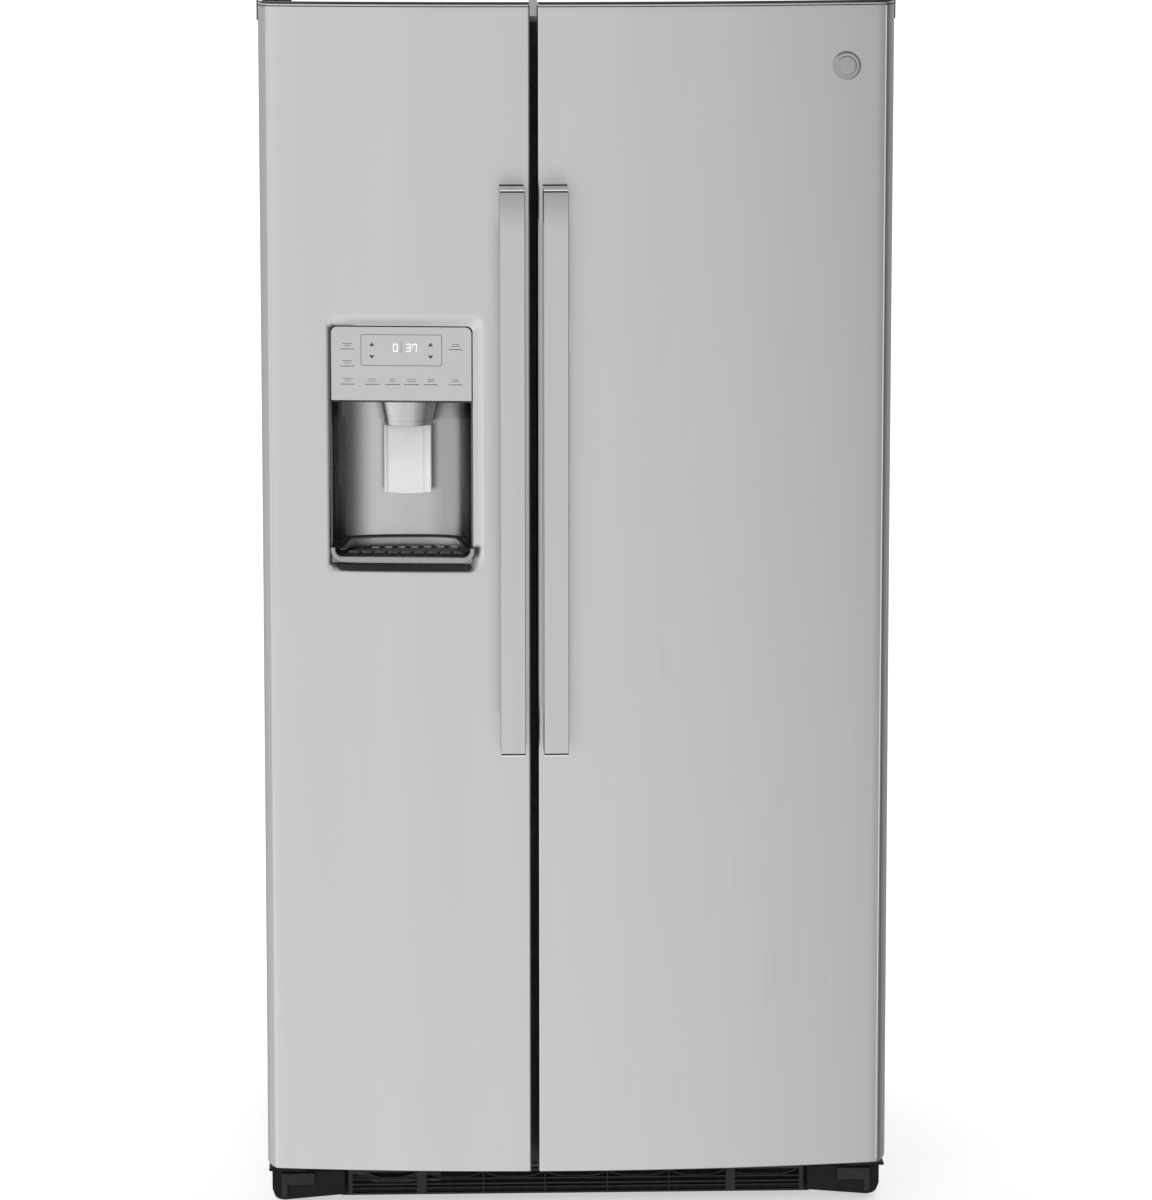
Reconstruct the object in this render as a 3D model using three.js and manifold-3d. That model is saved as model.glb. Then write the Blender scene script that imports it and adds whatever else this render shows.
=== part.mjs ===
// A side by side refrigerator: freezer on the left, fresh food on the right, ice and water in the
// freezer door. Millimetres, +Z up, front towards -Y, origin under the middle of the whole object.

import * as THREE from 'three';
import { mergeVertices } from 'three/addons/utils/BufferGeometryUtils.js';
import { ConvexGeometry } from 'three/addons/geometries/ConvexGeometry.js';
import Module from 'manifold-3d';

const wasm = await Module();
wasm.setup();

// ---- driving dimensions ----

const GAP = 0.3; // clearance between separate pieces that touch

// cabinet
const CASE_HALF = 450;
const CASE_FRONT = -286.5;
const CASE_BACK = 436.5;
const CASE_BOTTOM = 46;
const CASE_TOP = 1744;
const SHEET = 2; // steel sheet, drawn a little thick
const LIP = 20; // width of the case's front return
const OPENING_BOTTOM = 90; // top of the case's front bottom rail
const DEPTH_BACK = 440.5; // rearmost face of the whole object

// cavities
const LINER = 3;
const FREEZER_X = [-392, -95];
const FRESH_X = [-33, 402];
const CAVITY_FLOOR = 130;
const CAVITY_CEILING = 1688;
const CAVITY_BACK = 360;
const STEP_TOP = 385; // raised floor over the machine compartment
const STEP_FOOT_Y = 105;
const STEP_HEAD_Y = 160;
const MULLION_X = [-90, -36];

// machine compartment
const BAY_TOP = 320;
const BAY_FRONT_FOOT_Y = 160;
const BAY_FRONT_HEAD_Y = 215;
const PAN_Z = [56, 59];

// doors
const DOOR_HALF = 452;
const DOOR_GAP_X = [-68.4, -57.4];
const DOOR_BOTTOM = 66;
const DOOR_TOP = 1771;
const DOOR_BACK = -296.5;
const FACE_EDGE_Y = -351.5; // bowed front at the outer edges
const BOW = 34; // how far the middle of the two doors stands forward of the edges
const BOW_RADIUS = (DOOR_HALF ** 2 + BOW ** 2) / (2 * BOW);
const EDGE_ROUND = { x: 14, y: 27 }; // rounded outer edge
const GAP_ROUND = { x: 3, y: 3 }; // rounded edge beside the gap
const CAP_THICK = 2;
const CAP_SKIRT = 2; // how far the end cap stands out at the side
const CAP_SKIRT_HEIGHT = 29;
const DYKE_DEPTH = 51.5; // raised sides of the inner door
const GASKET_Y = [-296.2, -287];

// hinges
const HINGE_X = 430;
const HINGE_Y = -323;
const PIN_RADIUS = 5;
const PIN_HOLE = 6.5;

// handles
const HANDLE_Z = [697, 1512];
const HANDLE_FRONT = -440.5;
const HANDLE_BAR = 13;
const HANDLE_X = { freezer: [-112.4, -77.2], fresh: [-50.5, -15.4] };
const HANDLE_POST = 52;

// dispenser, in the freezer door
const RECESS_X = [-359.5, -135.8];
const RECESS_Z = [955, 1324];
const NICHE_X = [-353.6, -150.5];
const NICHE_Z = [966, 1309];
const RECESS_DEPTH = 9;
const PANEL_Z = [1201.5, 1308];
const HOUSING_BACK = -301;
const ALCOVE_BACK = -307;
const ALCOVE_Z = [975, 1201.2];
const CHUTE_X = -243;
const CHUTE_MOUTH_Z = 1325;

// ---- solids and booleans ----

function toManifold(geometry) {
  const bare = geometry.clone();
  bare.deleteAttribute('normal');
  bare.deleteAttribute('uv');
  const merged = mergeVertices(bare, 1e-4);
  const mesh = new wasm.Mesh({
    numProp: 3,
    vertProperties: new Float32Array(merged.attributes.position.array),
    triVerts: new Uint32Array(merged.index.array),
  });
  return new wasm.Manifold(mesh);
}

function toGeometry(manifold) {
  const mesh = manifold.getMesh();
  const geometry = new THREE.BufferGeometry();
  geometry.setAttribute('position', new THREE.BufferAttribute(mesh.vertProperties, 3));
  geometry.setIndex(new THREE.BufferAttribute(mesh.triVerts, 1));
  return geometry;
}

function join(first, ...others) {
  const all = others.map(toManifold);
  return toGeometry(all.reduce((sum, next) => sum.add(next), toManifold(first)));
}

function cut(base, ...tools) {
  const all = tools.map(toManifold);
  return toGeometry(all.reduce((left, tool) => left.subtract(tool), toManifold(base)));
}

function overlapOf(first, second) {
  return toGeometry(toManifold(first).intersect(toManifold(second)));
}

function box([x0, x1], [y0, y1], [z0, z1]) {
  const geometry = new THREE.BoxGeometry(x1 - x0, y1 - y0, z1 - z0);
  geometry.translate((x0 + x1) / 2, (y0 + y1) / 2, (z0 + z1) / 2);
  return geometry;
}

function extrude(points, depth) {
  const shape = new THREE.Shape(points.map(([u, v]) => new THREE.Vector2(u, v)));
  return new THREE.ExtrudeGeometry(shape, { depth, bevelEnabled: false, steps: 1 });
}

// outline in X and Y, extruded up
function prismZ(points, [z0, z1]) {
  return extrude(points, z1 - z0).translate(0, 0, z0);
}

// outline in Y and Z, extruded along +X
function prismX(points, [x0, x1]) {
  const turn = new THREE.Matrix4().makeBasis(
    new THREE.Vector3(0, 1, 0), new THREE.Vector3(0, 0, 1), new THREE.Vector3(1, 0, 0));
  return extrude(points, x1 - x0).applyMatrix4(turn).translate(x0, 0, 0);
}

// outline in X and Z, extruded along Y
function prismY(points, [y0, y1]) {
  const turn = new THREE.Matrix4().makeBasis(
    new THREE.Vector3(1, 0, 0), new THREE.Vector3(0, 0, 1), new THREE.Vector3(0, -1, 0));
  return extrude(points, y1 - y0).applyMatrix4(turn).translate(0, y1, 0);
}

function rodZ(x, y, radius, [z0, z1], sides = 20) {
  const geometry = new THREE.CylinderGeometry(radius, radius, z1 - z0, sides);
  return geometry.rotateX(Math.PI / 2).translate(x, y, (z0 + z1) / 2);
}

function rodY(x, z, radius, [y0, y1], sides = 20) {
  const geometry = new THREE.CylinderGeometry(radius, radius, y1 - y0, sides);
  return geometry.translate(x, (y0 + y1) / 2, z);
}

function rodX(y, z, radius, [x0, x1], sides = 20) {
  const geometry = new THREE.CylinderGeometry(radius, radius, x1 - x0, sides);
  return geometry.rotateZ(Math.PI / 2).translate((x0 + x1) / 2, y, z);
}

function hull(points) {
  return new ConvexGeometry(points.map(([x, y, z]) => new THREE.Vector3(x, y, z)));
}

// an open-topped box with walls of one thickness
function tray([x0, x1], [y0, y1], [z0, z1], wall) {
  const hollow = box([x0 + wall, x1 - wall], [y0 + wall, y1 - wall], [z0 + wall, z1 + 1]);
  return cut(box([x0, x1], [y0, y1], [z0, z1]), hollow);
}

function roundedRectangle([u0, u1], [v0, v1], radius, steps = 4) {
  const centres = [
    [u1 - radius, v1 - radius], [u0 + radius, v1 - radius],
    [u0 + radius, v0 + radius], [u1 - radius, v0 + radius],
  ];
  return centres.flatMap(([u, v], corner) => {
    const start = corner * Math.PI / 2;
    return Array.from({ length: steps + 1 }, (_, i) => {
      const angle = start + (i / steps) * Math.PI / 2;
      return [u + radius * Math.cos(angle), v + radius * Math.sin(angle)];
    });
  });
}

// ---- the object as a group of named meshes ----

const refrigerator = new THREE.Group();

const FINISH = {
  steel: { color: 0xc4c5c6, roughness: 0.34, metalness: 1 },
  satin: { color: 0xb4b5b6, roughness: 0.3, metalness: 0.9 },
  casePaint: { color: 0x8a8c8e, roughness: 0.55, metalness: 0.2 },
  black: { color: 0x1d1d1e, roughness: 0.5, metalness: 0 },
  gray: { color: 0x3d3e40, roughness: 0.55, metalness: 0 },
  liner: { color: 0xf1f2f2, roughness: 0.4, metalness: 0 },
  clear: { color: 0xdfeaf0, roughness: 0.1, metalness: 0 },
  foam: { color: 0xe8d9a8, roughness: 0.9, metalness: 0 },
  zinc: { color: 0xa9adb0, roughness: 0.45, metalness: 0.9 },
  rubber: { color: 0xc9cacb, roughness: 0.8, metalness: 0 },
  copper: { color: 0xb87345, roughness: 0.35, metalness: 1 },
  white: { color: 0xe9ebec, roughness: 0.45, metalness: 0 },
};

function addPart(name, geometry, finish, parent = refrigerator) {
  const mesh = new THREE.Mesh(geometry, new THREE.MeshStandardMaterial(FINISH[finish]));
  mesh.name = name;
  parent.add(mesh);
}

// ---- plan of the bowed doors ----

function faceY(x) {
  return FACE_EDGE_Y - BOW + BOW_RADIUS - Math.sqrt(BOW_RADIUS ** 2 - x ** 2);
}

const DOORS = {
  freezer: { side: -1, outer: -DOOR_HALF, inner: DOOR_GAP_X[0] },
  fresh: { side: 1, outer: DOOR_HALF, inner: DOOR_GAP_X[1] },
};

// Plan outline of a door, shrunk by inset all round except at its back, which is at backY.
function doorPlan(door, inset, backY) {
  const inward = -door.side;
  const outer = door.outer + inward * inset;
  const inner = door.inner - inward * inset;
  const cornerOf = (edge, toMiddle, round, from, to) => {
    const rx = Math.max(round.x - inset, 1);
    const ry = Math.max(round.y - inset, 1);
    const centreX = edge + toMiddle * rx;
    const centreY = faceY(centreX) + inset + ry;
    const steps = 5;
    return Array.from({ length: steps + 1 }, (_, i) => {
      const angle = THREE.MathUtils.lerp(from, to, i / steps) * Math.PI / 2;
      return [centreX - toMiddle * rx * Math.cos(angle), centreY - ry * Math.sin(angle)];
    });
  };
  const outerCorner = cornerOf(outer, inward, EDGE_ROUND, 0, 1);
  const innerCorner = cornerOf(inner, -inward, GAP_ROUND, 1, 0);
  const startX = outerCorner.at(-1)[0];
  const endX = innerCorner[0][0];
  const faceSteps = 12;
  const face = Array.from({ length: faceSteps - 1 }, (_, i) => {
    const x = THREE.MathUtils.lerp(startX, endX, (i + 1) / faceSteps);
    return [x, faceY(x) + inset];
  });
  return [[outer, backY], ...outerCorner, ...face, ...innerCorner, [inner, backY]];
}

// ---- cabinet ----

function outerCase() {
  const [inLeft, inRight] = [-CASE_HALF + SHEET, CASE_HALF - SHEET];
  const shell = box([-CASE_HALF, CASE_HALF], [CASE_FRONT, CASE_BACK], [CASE_BOTTOM, CASE_TOP]);
  const inside = box(
    [inLeft, inRight], [CASE_FRONT + SHEET, CASE_BACK + 1], [CASE_BOTTOM - 1, CASE_TOP - SHEET]);
  const openings = [[-CASE_HALF + LIP, MULLION_X[0]], [MULLION_X[1], CASE_HALF - LIP]];
  const frontHoles = openings.map((span) => box(
    span, [CASE_FRONT - 1, CASE_FRONT + SHEET + 1], [OPENING_BOTTOM, CASE_TOP - LIP]));
  return cut(shell, inside, ...frontHoles);
}

// side profile of a cavity, grown outward by grow; its front is at frontY
function cavityProfile(grow, frontY) {
  return [
    [frontY, CAVITY_FLOOR - grow],
    [STEP_FOOT_Y + grow * 0.8, CAVITY_FLOOR - grow],
    [STEP_HEAD_Y + grow * 0.8, STEP_TOP - grow],
    [CAVITY_BACK + grow, STEP_TOP - grow],
    [CAVITY_BACK + grow, CAVITY_CEILING + grow],
    [frontY, CAVITY_CEILING + grow],
  ];
}

const FOAM_FRONT = CASE_FRONT + SHEET + GAP;

function insulationFoam() {
  const top = CASE_TOP - SHEET - GAP;
  const bottom = PAN_Z[1] + GAP;
  const half = CASE_HALF - SHEET - GAP;
  const back = CASE_BACK - LINER - GAP;
  const profile = [
    [FOAM_FRONT, bottom], [BAY_FRONT_FOOT_Y, bottom], [BAY_FRONT_HEAD_Y, BAY_TOP],
    [back, BAY_TOP], [back, top], [FOAM_FRONT, top],
  ];
  const cavities = [FREEZER_X, FRESH_X].map(([x0, x1]) => prismX(
    cavityProfile(GAP, FOAM_FRONT - 1), [x0 - GAP, x1 + GAP]));
  return cut(prismX(profile, [-half, half]), ...cavities);
}

// a moulded cavity with a flange that fills its opening in the case's front frame
function liner([x0, x1], [flangeX0, flangeX1]) {
  const outside = prismX(cavityProfile(0, CASE_FRONT), [x0, x1]);
  const flange = box(
    [flangeX0 + GAP, flangeX1 - GAP], [CASE_FRONT, CASE_FRONT + SHEET],
    [OPENING_BOTTOM + GAP, CASE_TOP - LIP - GAP]);
  const inside = prismX(cavityProfile(-LINER, CASE_FRONT - 1), [x0 + LINER, x1 - LINER]);
  return cut(join(outside, flange), inside);
}

function backPanel() {
  const half = CASE_HALF - SHEET - GAP;
  return box([-half, half], [CASE_BACK - LINER, CASE_BACK], [BAY_TOP + 5, CASE_TOP - SHEET - GAP]);
}

const FAN_BAY = { x: 20, y: 330, z: 185, radius: 74, wall: 3, front: 238, top: 300 };
const ROLLER = { x: 395, y: 400, radius: 22, half: 11, axle: 4 };
const FORK = { gap: 2, thick: 3, half: 12, foot: 12, hole: 5 };
const PAN_FRONT = CASE_FRONT + 16;
// turned-down front edge of the pan, between the legs
const APRON = { half: 408, foot: 14, thick: 3 };

function basePan() {
  const half = CASE_HALF - SHEET - 4;
  const plate = box([-half, half], [PAN_FRONT, CASE_BACK - 6], PAN_Z);
  const wall = [FAN_BAY.x, FAN_BAY.x + FAN_BAY.wall];
  const bulkhead = cut(
    box(wall, [FAN_BAY.front, CASE_BACK - 12], [PAN_Z[0], FAN_BAY.top]),
    rodX(FAN_BAY.y, FAN_BAY.z, FAN_BAY.radius, [wall[0] - 1, wall[1] + 1], 32));
  const forks = [];
  for (const side of [-1, 1]) {
    for (const edge of [-1, 1]) {
      const near = side * ROLLER.x + edge * (ROLLER.half + FORK.gap);
      const far = near + edge * FORK.thick;
      const span = [Math.min(near, far), Math.max(near, far)];
      forks.push(cut(
        box(span, [ROLLER.y - FORK.half, ROLLER.y + FORK.half], [FORK.foot, PAN_Z[1]]),
        rodX(ROLLER.y, ROLLER.radius, FORK.hole, [span[0] - 1, span[1] + 1])));
    }
  }
  const apron = box(
    [-APRON.half, APRON.half], [PAN_FRONT, PAN_FRONT + APRON.thick], [APRON.foot, PAN_Z[1]]);
  return join(plate, apron, bulkhead, ...forks);
}

function rearRoller(side) {
  const wheel = rodX(ROLLER.y, ROLLER.radius, ROLLER.radius,
    [side * ROLLER.x - ROLLER.half, side * ROLLER.x + ROLLER.half], 32);
  const reach = ROLLER.half + FORK.gap + FORK.thick;
  const axle = rodX(
    ROLLER.y, ROLLER.radius, ROLLER.axle, [side * ROLLER.x - reach, side * ROLLER.x + reach]);
  return join(wheel, axle);
}

const COVER_FOOT = 64;
const VENT = { x: 250, half: 110, rows: 6, first: 110, pitch: 30, high: 10 };
const INLET = { x: 60, z: 240, radius: 12.5, length: 30, bore: 5, boreDepth: 12 };

function machineCover() {
  const half = CASE_HALF - 4;
  const plate = box([-half, half], [CASE_BACK + 1, DEPTH_BACK], [COVER_FOOT, BAY_TOP + 4]);
  const through = [CASE_BACK, DEPTH_BACK + 1];
  const slots = [];
  for (const centre of [-VENT.x, VENT.x]) {
    for (let row = 0; row < VENT.rows; row += 1) {
      const z = VENT.first + row * VENT.pitch;
      slots.push(box([centre - VENT.half, centre + VENT.half], through, [z, z + VENT.high]));
    }
  }
  return cut(plate, ...slots, rodY(INLET.x, INLET.z, INLET.radius + 0.5, through));
}

function powerInlet() {
  const boss = rodY(INLET.x, INLET.z, INLET.radius, [DEPTH_BACK - INLET.length - 4, DEPTH_BACK]);
  return cut(boss, rodY(
    INLET.x, INLET.z, INLET.bore, [CASE_BACK - INLET.boreDepth, DEPTH_BACK + 1]));
}

const COMPRESSOR = {
  x: -230,
  y: 325,
  pot: [[0, 78], [62, 78], [78, 96], [82, 120], [82, 176], [76, 206], [52, 232], [0, 244]],
  footHalf: [95, 62],
  footTop: 80,
  terminals: { x: [70, 104], half: 28, z: [120, 178] },
};

function compressor() {
  const { x, y, footHalf, terminals } = COMPRESSOR;
  const pot = new THREE.LatheGeometry(COMPRESSOR.pot.map(([r, z]) => new THREE.Vector2(r, z)), 28);
  pot.rotateX(Math.PI / 2).translate(x, y, 0);
  const feet = box([x - footHalf[0], x + footHalf[0]], [y - footHalf[1], y + footHalf[1]],
    [PAN_Z[1] + GAP, COMPRESSOR.footTop]);
  const block = box([x + terminals.x[0], x + terminals.x[1]],
    [y - terminals.half, y + terminals.half], terminals.z);
  return join(pot, feet, block);
}

const CONDENSER = {
  x: [96, 396], y: 330, low: 86, pitch: 36, runs: 6, radius: 5, brackets: [130, 245, 360], top: 280,
};

function condenserCoil() {
  const { x: [left, right], y, low, pitch, runs, radius } = CONDENSER;
  const path = new THREE.CurvePath();
  for (let i = 0; i < runs; i += 1) {
    const z = low + i * pitch;
    const ends = i % 2 ? [right, left] : [left, right];
    const start = new THREE.Vector3(ends[0], y, z);
    const end = new THREE.Vector3(ends[1], y, z);
    path.add(new THREE.LineCurve3(start, end));
    if (i < runs - 1) {
      const out = (i % 2 ? -1 : 1) * pitch * 0.66;
      path.add(new THREE.CubicBezierCurve3(
        end, new THREE.Vector3(end.x + out, y, z),
        new THREE.Vector3(end.x + out, y, z + pitch), new THREE.Vector3(end.x, y, z + pitch)));
    }
  }
  const section = new THREE.Shape().absarc(0, 0, radius, 0, 2 * Math.PI);
  const tube = new THREE.ExtrudeGeometry(section, { extrudePath: path, steps: 80, curveSegments: 3 });
  const bracketZ = [PAN_Z[1] + GAP, CONDENSER.top];
  const brackets = CONDENSER.brackets.map((x) => box([x, x + 4], [y - 12, y + 12], bracketZ));
  return join(tube, ...brackets);
}

function fan(blades, bladeRadius, hubRadius, length) {
  const parts = [rodZ(0, 0, hubRadius, [0, length], 24)];
  for (let i = 0; i < blades; i += 1) {
    const blade = hull([
      [hubRadius - 3, -12, 2], [hubRadius - 3, -10, 2], [hubRadius - 3, 12, length - 4],
      [hubRadius - 3, 14, length - 4], [bladeRadius, -20, 2], [bladeRadius, -18, 2],
      [bladeRadius - 4, 16, length - 4], [bladeRadius - 4, 18, length - 4],
    ]);
    parts.push(blade.rotateZ((2 * Math.PI * i) / blades));
  }
  return join(...parts);
}

function condenserFan() {
  return fan(5, 66, 20, 26).rotateY(Math.PI / 2).translate(FAN_BAY.x + 8, FAN_BAY.y, FAN_BAY.z);
}

const COLD_FAN = { x: -243, y: 300, z: 1222, hole: 52 };

function evaporatorFan() {
  return fan(5, 46, 16, 22).rotateX(-Math.PI / 2).translate(COLD_FAN.x, COLD_FAN.y, COLD_FAN.z);
}

const DUCT = { front: 288, z: [430, 1300], wall: 3 };

function evaporatorCover() {
  const { front, z, wall } = DUCT;
  const [x0, x1] = [FREEZER_X[0] + LINER + 1, FREEZER_X[1] - LINER - 1];
  const back = CAVITY_BACK - LINER - 1;
  const body = box([x0, x1], [front, back], z);
  const hollow = box([x0 + wall, x1 - wall], [front + wall, back + 1], [z[0] - 1, z[1] - wall]);
  const fanHole = rodY(COLD_FAN.x, COLD_FAN.z, COLD_FAN.hole, [front - 1, front + wall + 1], 32);
  return cut(body, hollow, fanHole);
}

const EVAPORATOR = {
  x: [-372, -114], y: [306, 346], z: [470, 1120], plate: 4, rows: 9, first: 30, pitch: 74, radius: 5,
};

function evaporatorCoil() {
  const { x: [x0, x1], y, z, plate, rows, first, pitch, radius } = EVAPORATOR;
  const spines = [[x0, x0 + plate], [x1 - plate, x1]].map((span) => box(span, y, z));
  const tubes = Array.from({ length: rows }, (_, i) => rodX(
    (y[0] + y[1]) / 2, z[0] + first + i * pitch, radius, [x0 + plate / 2, x1 - plate / 2], 10));
  return join(...spines, ...tubes);
}

const VALVE = { x: -375, half: 25, y: [395, 428], top: 118, coilTop: 150, hoseZ: 90 };

function waterValve() {
  const { x, half, y, top, coilTop, hoseZ } = VALVE;
  const body = box([x - half, x + half], y, [PAN_Z[1] + GAP, top]);
  const coil = rodZ(x, (y[0] + y[1]) / 2, 15, [top - 18, coilTop], 16);
  const inlet = rodY(x, hoseZ, 10, [y[0] - 15, y[1] + 7], 16);
  return join(body, coil, inlet);
}

// ---- base: grille, leg brackets, legs ----

const BRACKET_INNER = 341.3;
const GRILLE_Z = [9, 47];
const GRILLE_Y = [-300, -292];
const GRILLE_SLOT = { high: [27, 42], low: [12, 17], middle: [36, 46], end: [38, 44] };

function baseGrille() {
  const half = BRACKET_INNER - GAP;
  const plate = box([-half, half], GRILLE_Y, GRILLE_Z);
  const through = [GRILLE_Y[0] - 1, GRILLE_Y[1] + 1];
  const [foot, head] = GRILLE_SLOT.high;
  const trapezoid = (centre, [low, high]) => prismY([
    [centre - low, foot], [centre + low, foot], [centre + high, head], [centre - high, head],
  ], through);
  const slot = (centre, reach) => box([centre - reach, centre + reach], through, GRILLE_SLOT.low);
  const middle = [-171, -57, 57, 171].flatMap(
    (x) => [trapezoid(x, GRILLE_SLOT.middle), slot(x, 50)]);
  const ends = [-291, 291].flatMap((x) => [trapezoid(x, GRILLE_SLOT.end), slot(x, 42)]);
  return cut(plate, ...middle, ...ends);
}

const LEG = { x: 432, y: -274, pad: 13, padThick: 4, neck: 9, stem: 5, top: 50 };
const BRACKET = {
  front: -302,
  back: -288,
  cover: [[430, 3.5], [438, 5], [444, 10], [448, 20], [448, 47]],
  innerZ: [11, 47],
  tab: [[386, 26], [427, 26], [427, 8], [435, 8], [435, 45], [386, 45]],
  tabFront: -305,
  plate: { x: [398, 452], y: -337, z: [57, 61] },
  rise: { x: [398, 448], y: -296, z: [40, 58] },
  lug: { x: [417, 446], y: [-292, -262], z: [32, 42] },
  pinZ: [60, 84],
};

// slanted cover beside the grille, with the lower hinge plate and pin, and a lug for the leg
function legBracket(side) {
  const { front, back, innerZ, plate, rise, lug } = BRACKET;
  const onSide = (points, span) => {
    const placed = points.map(([x, z]) => [side * x, z]);
    return prismY(side < 0 ? placed.reverse() : placed, span);
  };
  const outline = [[BRACKET_INNER, innerZ[0]], ...BRACKET.cover, [BRACKET_INNER, innerZ[1]]];
  const body = join(
    onSide(outline, [front, back]),
    onSide(BRACKET.tab, [BRACKET.tabFront, front + 1]),
    box(spanOn(side, plate.x), [plate.y, back], plate.z),
    box(spanOn(side, rise.x), [rise.y, back], rise.z),
    box(spanOn(side, lug.x), lug.y, lug.z),
    rodZ(side * HINGE_X, HINGE_Y, PIN_RADIUS, BRACKET.pinZ));
  return cut(body, rodZ(side * LEG.x, LEG.y, LEG.stem + 0.8, [lug.z[0] - 1, lug.z[1] + 1]));
}

function levelingLeg(side) {
  const { pad, padThick, neck, stem, top } = LEG;
  const profile = [[0, 0], [pad, 0], [pad, padThick], [stem, neck], [stem, top], [0, top]];
  const leg = new THREE.LatheGeometry(profile.map(([r, z]) => new THREE.Vector2(r, z)), 20);
  return leg.rotateX(Math.PI / 2).translate(side * LEG.x, LEG.y, 0);
}

// ---- top hinges ----

const HINGE_PLATE = { x: [404, 446], z: [DOOR_TOP + 0.6, DOOR_TOP + 3.4], rear: -190, riser: [-284, -279] };
const PIN_LENGTH = 18;
const HINGE_COVER = { x: [396, 449.5], y: [-278.5, -165], top: 1775, shoulder: 1762, slope: 17, wall: 2.5 };

function spanOn(side, [near, far]) {
  return side < 0 ? [-far, -near] : [near, far];
}

function topHinge(side) {
  const { x, z, rear, riser } = HINGE_PLATE;
  const span = spanOn(side, x);
  const foot = box(span, [riser[0], rear], [CASE_TOP + GAP, CASE_TOP + 3]);
  const upright = box(span, riser, [CASE_TOP + GAP, z[1]]);
  const arm = box(span, [HINGE_Y - 14, riser[1]], z);
  const pin = rodZ(side * HINGE_X, HINGE_Y, PIN_RADIUS, [DOOR_TOP - PIN_LENGTH, z[1] - 1]);
  return join(foot, upright, arm, pin);
}

function hingeCover(side) {
  const { x, y: [front, rear], top, shoulder, slope, wall } = HINGE_COVER;
  const body = prismX([
    [front, CASE_TOP + GAP], [rear, CASE_TOP + GAP], [rear, shoulder], [rear - slope, top], [front, top],
  ], spanOn(side, x));
  const hollow = prismX([
    [front - 1, CASE_TOP - 1], [rear - wall, CASE_TOP - 1], [rear - wall, shoulder - 1],
    [rear - slope - wall, top - wall], [front - 1, top - wall],
  ], spanOn(side, [x[0] + wall, x[1] - wall]));
  return cut(body, hollow);
}

// ---- doors ----

function hingePinHole(door, span) {
  return rodZ(door.side * HINGE_X, HINGE_Y, PIN_HOLE, span);
}

// sloped sides and floor of the pressed recess around the dispenser, grown outward by grow
function recessForm(grow, frontOver, depth) {
  const [x0, x1] = [RECESS_X[0] - grow, RECESS_X[1] + grow];
  const [z0, z1] = [RECESS_Z[0] - grow, RECESS_Z[1] + grow];
  const [i0, i1] = [NICHE_X[0] - grow, NICHE_X[1] + grow];
  const [j0, j1] = [NICHE_Z[0] - grow, NICHE_Z[1] + grow];
  const corners = [];
  for (const [x, inner] of [[x0, i0], [x1, i1]]) {
    for (const [z, innerZ] of [[z0, j0], [z1, j1]]) {
      corners.push([x, faceY(x) - frontOver, z]);
      corners.push([x, faceY(x), z]);
      corners.push([inner, faceY(x) + depth, innerZ]);
    }
  }
  return hull(corners);
}

function doorShell(door) {
  const body = prismZ(
    doorPlan(door, 0, DOOR_BACK - LINER - GAP), [DOOR_BOTTOM, DOOR_TOP - CAP_THICK - GAP]);
  const hollow = prismZ(doorPlan(door, SHEET, DOOR_BACK + 5), [DOOR_BOTTOM + SHEET, DOOR_TOP + 5]);
  const hole = hingePinHole(door, [DOOR_BOTTOM - 1, DOOR_BOTTOM + SHEET + 1]);
  return cut(body, hollow, hole);
}

function freezerDoorSkin() {
  const solidDoor = prismZ(doorPlan(DOORS.freezer, 0, DOOR_BACK - LINER - GAP), [900, 1400]);
  const form = overlapOf(recessForm(SHEET, 5, RECESS_DEPTH + SHEET), solidDoor);
  const niche = box(NICHE_X, [-500, -200], NICHE_Z);
  return cut(join(doorShell(DOORS.freezer), form), recessForm(0, 5, RECESS_DEPTH), niche);
}

function doorTopCap(door) {
  const plate = prismZ(doorPlan(door, 0, DOOR_BACK), [DOOR_TOP - CAP_THICK, DOOR_TOP]);
  const skirtIn = door.outer + door.side * GAP;
  const skirtOut = door.outer + door.side * CAP_SKIRT;
  const span = (a, b) => [Math.min(a, b), Math.max(a, b)];
  const skirtY = [FACE_EDGE_Y + 25, DOOR_BACK];
  const skirt = box(span(skirtIn, skirtOut), skirtY, [DOOR_TOP - CAP_SKIRT_HEIGHT, DOOR_TOP]);
  const bridge = box(
    span(door.outer - door.side * 4, skirtOut), skirtY, [DOOR_TOP - CAP_THICK, DOOR_TOP]);
  return cut(join(plate, skirt, bridge), hingePinHole(door, [DOOR_TOP - 10, DOOR_TOP + 1]));
}

const INNER_DOOR = {
  freezer: { hingeDyke: [-384, -360], latchDyke: [-135, -114], bin: [-359.5, -135.5] },
  fresh: { hingeDyke: [371, 395], latchDyke: [-14, 9], bin: [9.5, 370.5] },
};
const DYKE_Z = [140, 1668];
const DYKE_BAR = 24;
const DYKE_FRONT = DOOR_BACK + DYKE_DEPTH;

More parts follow.
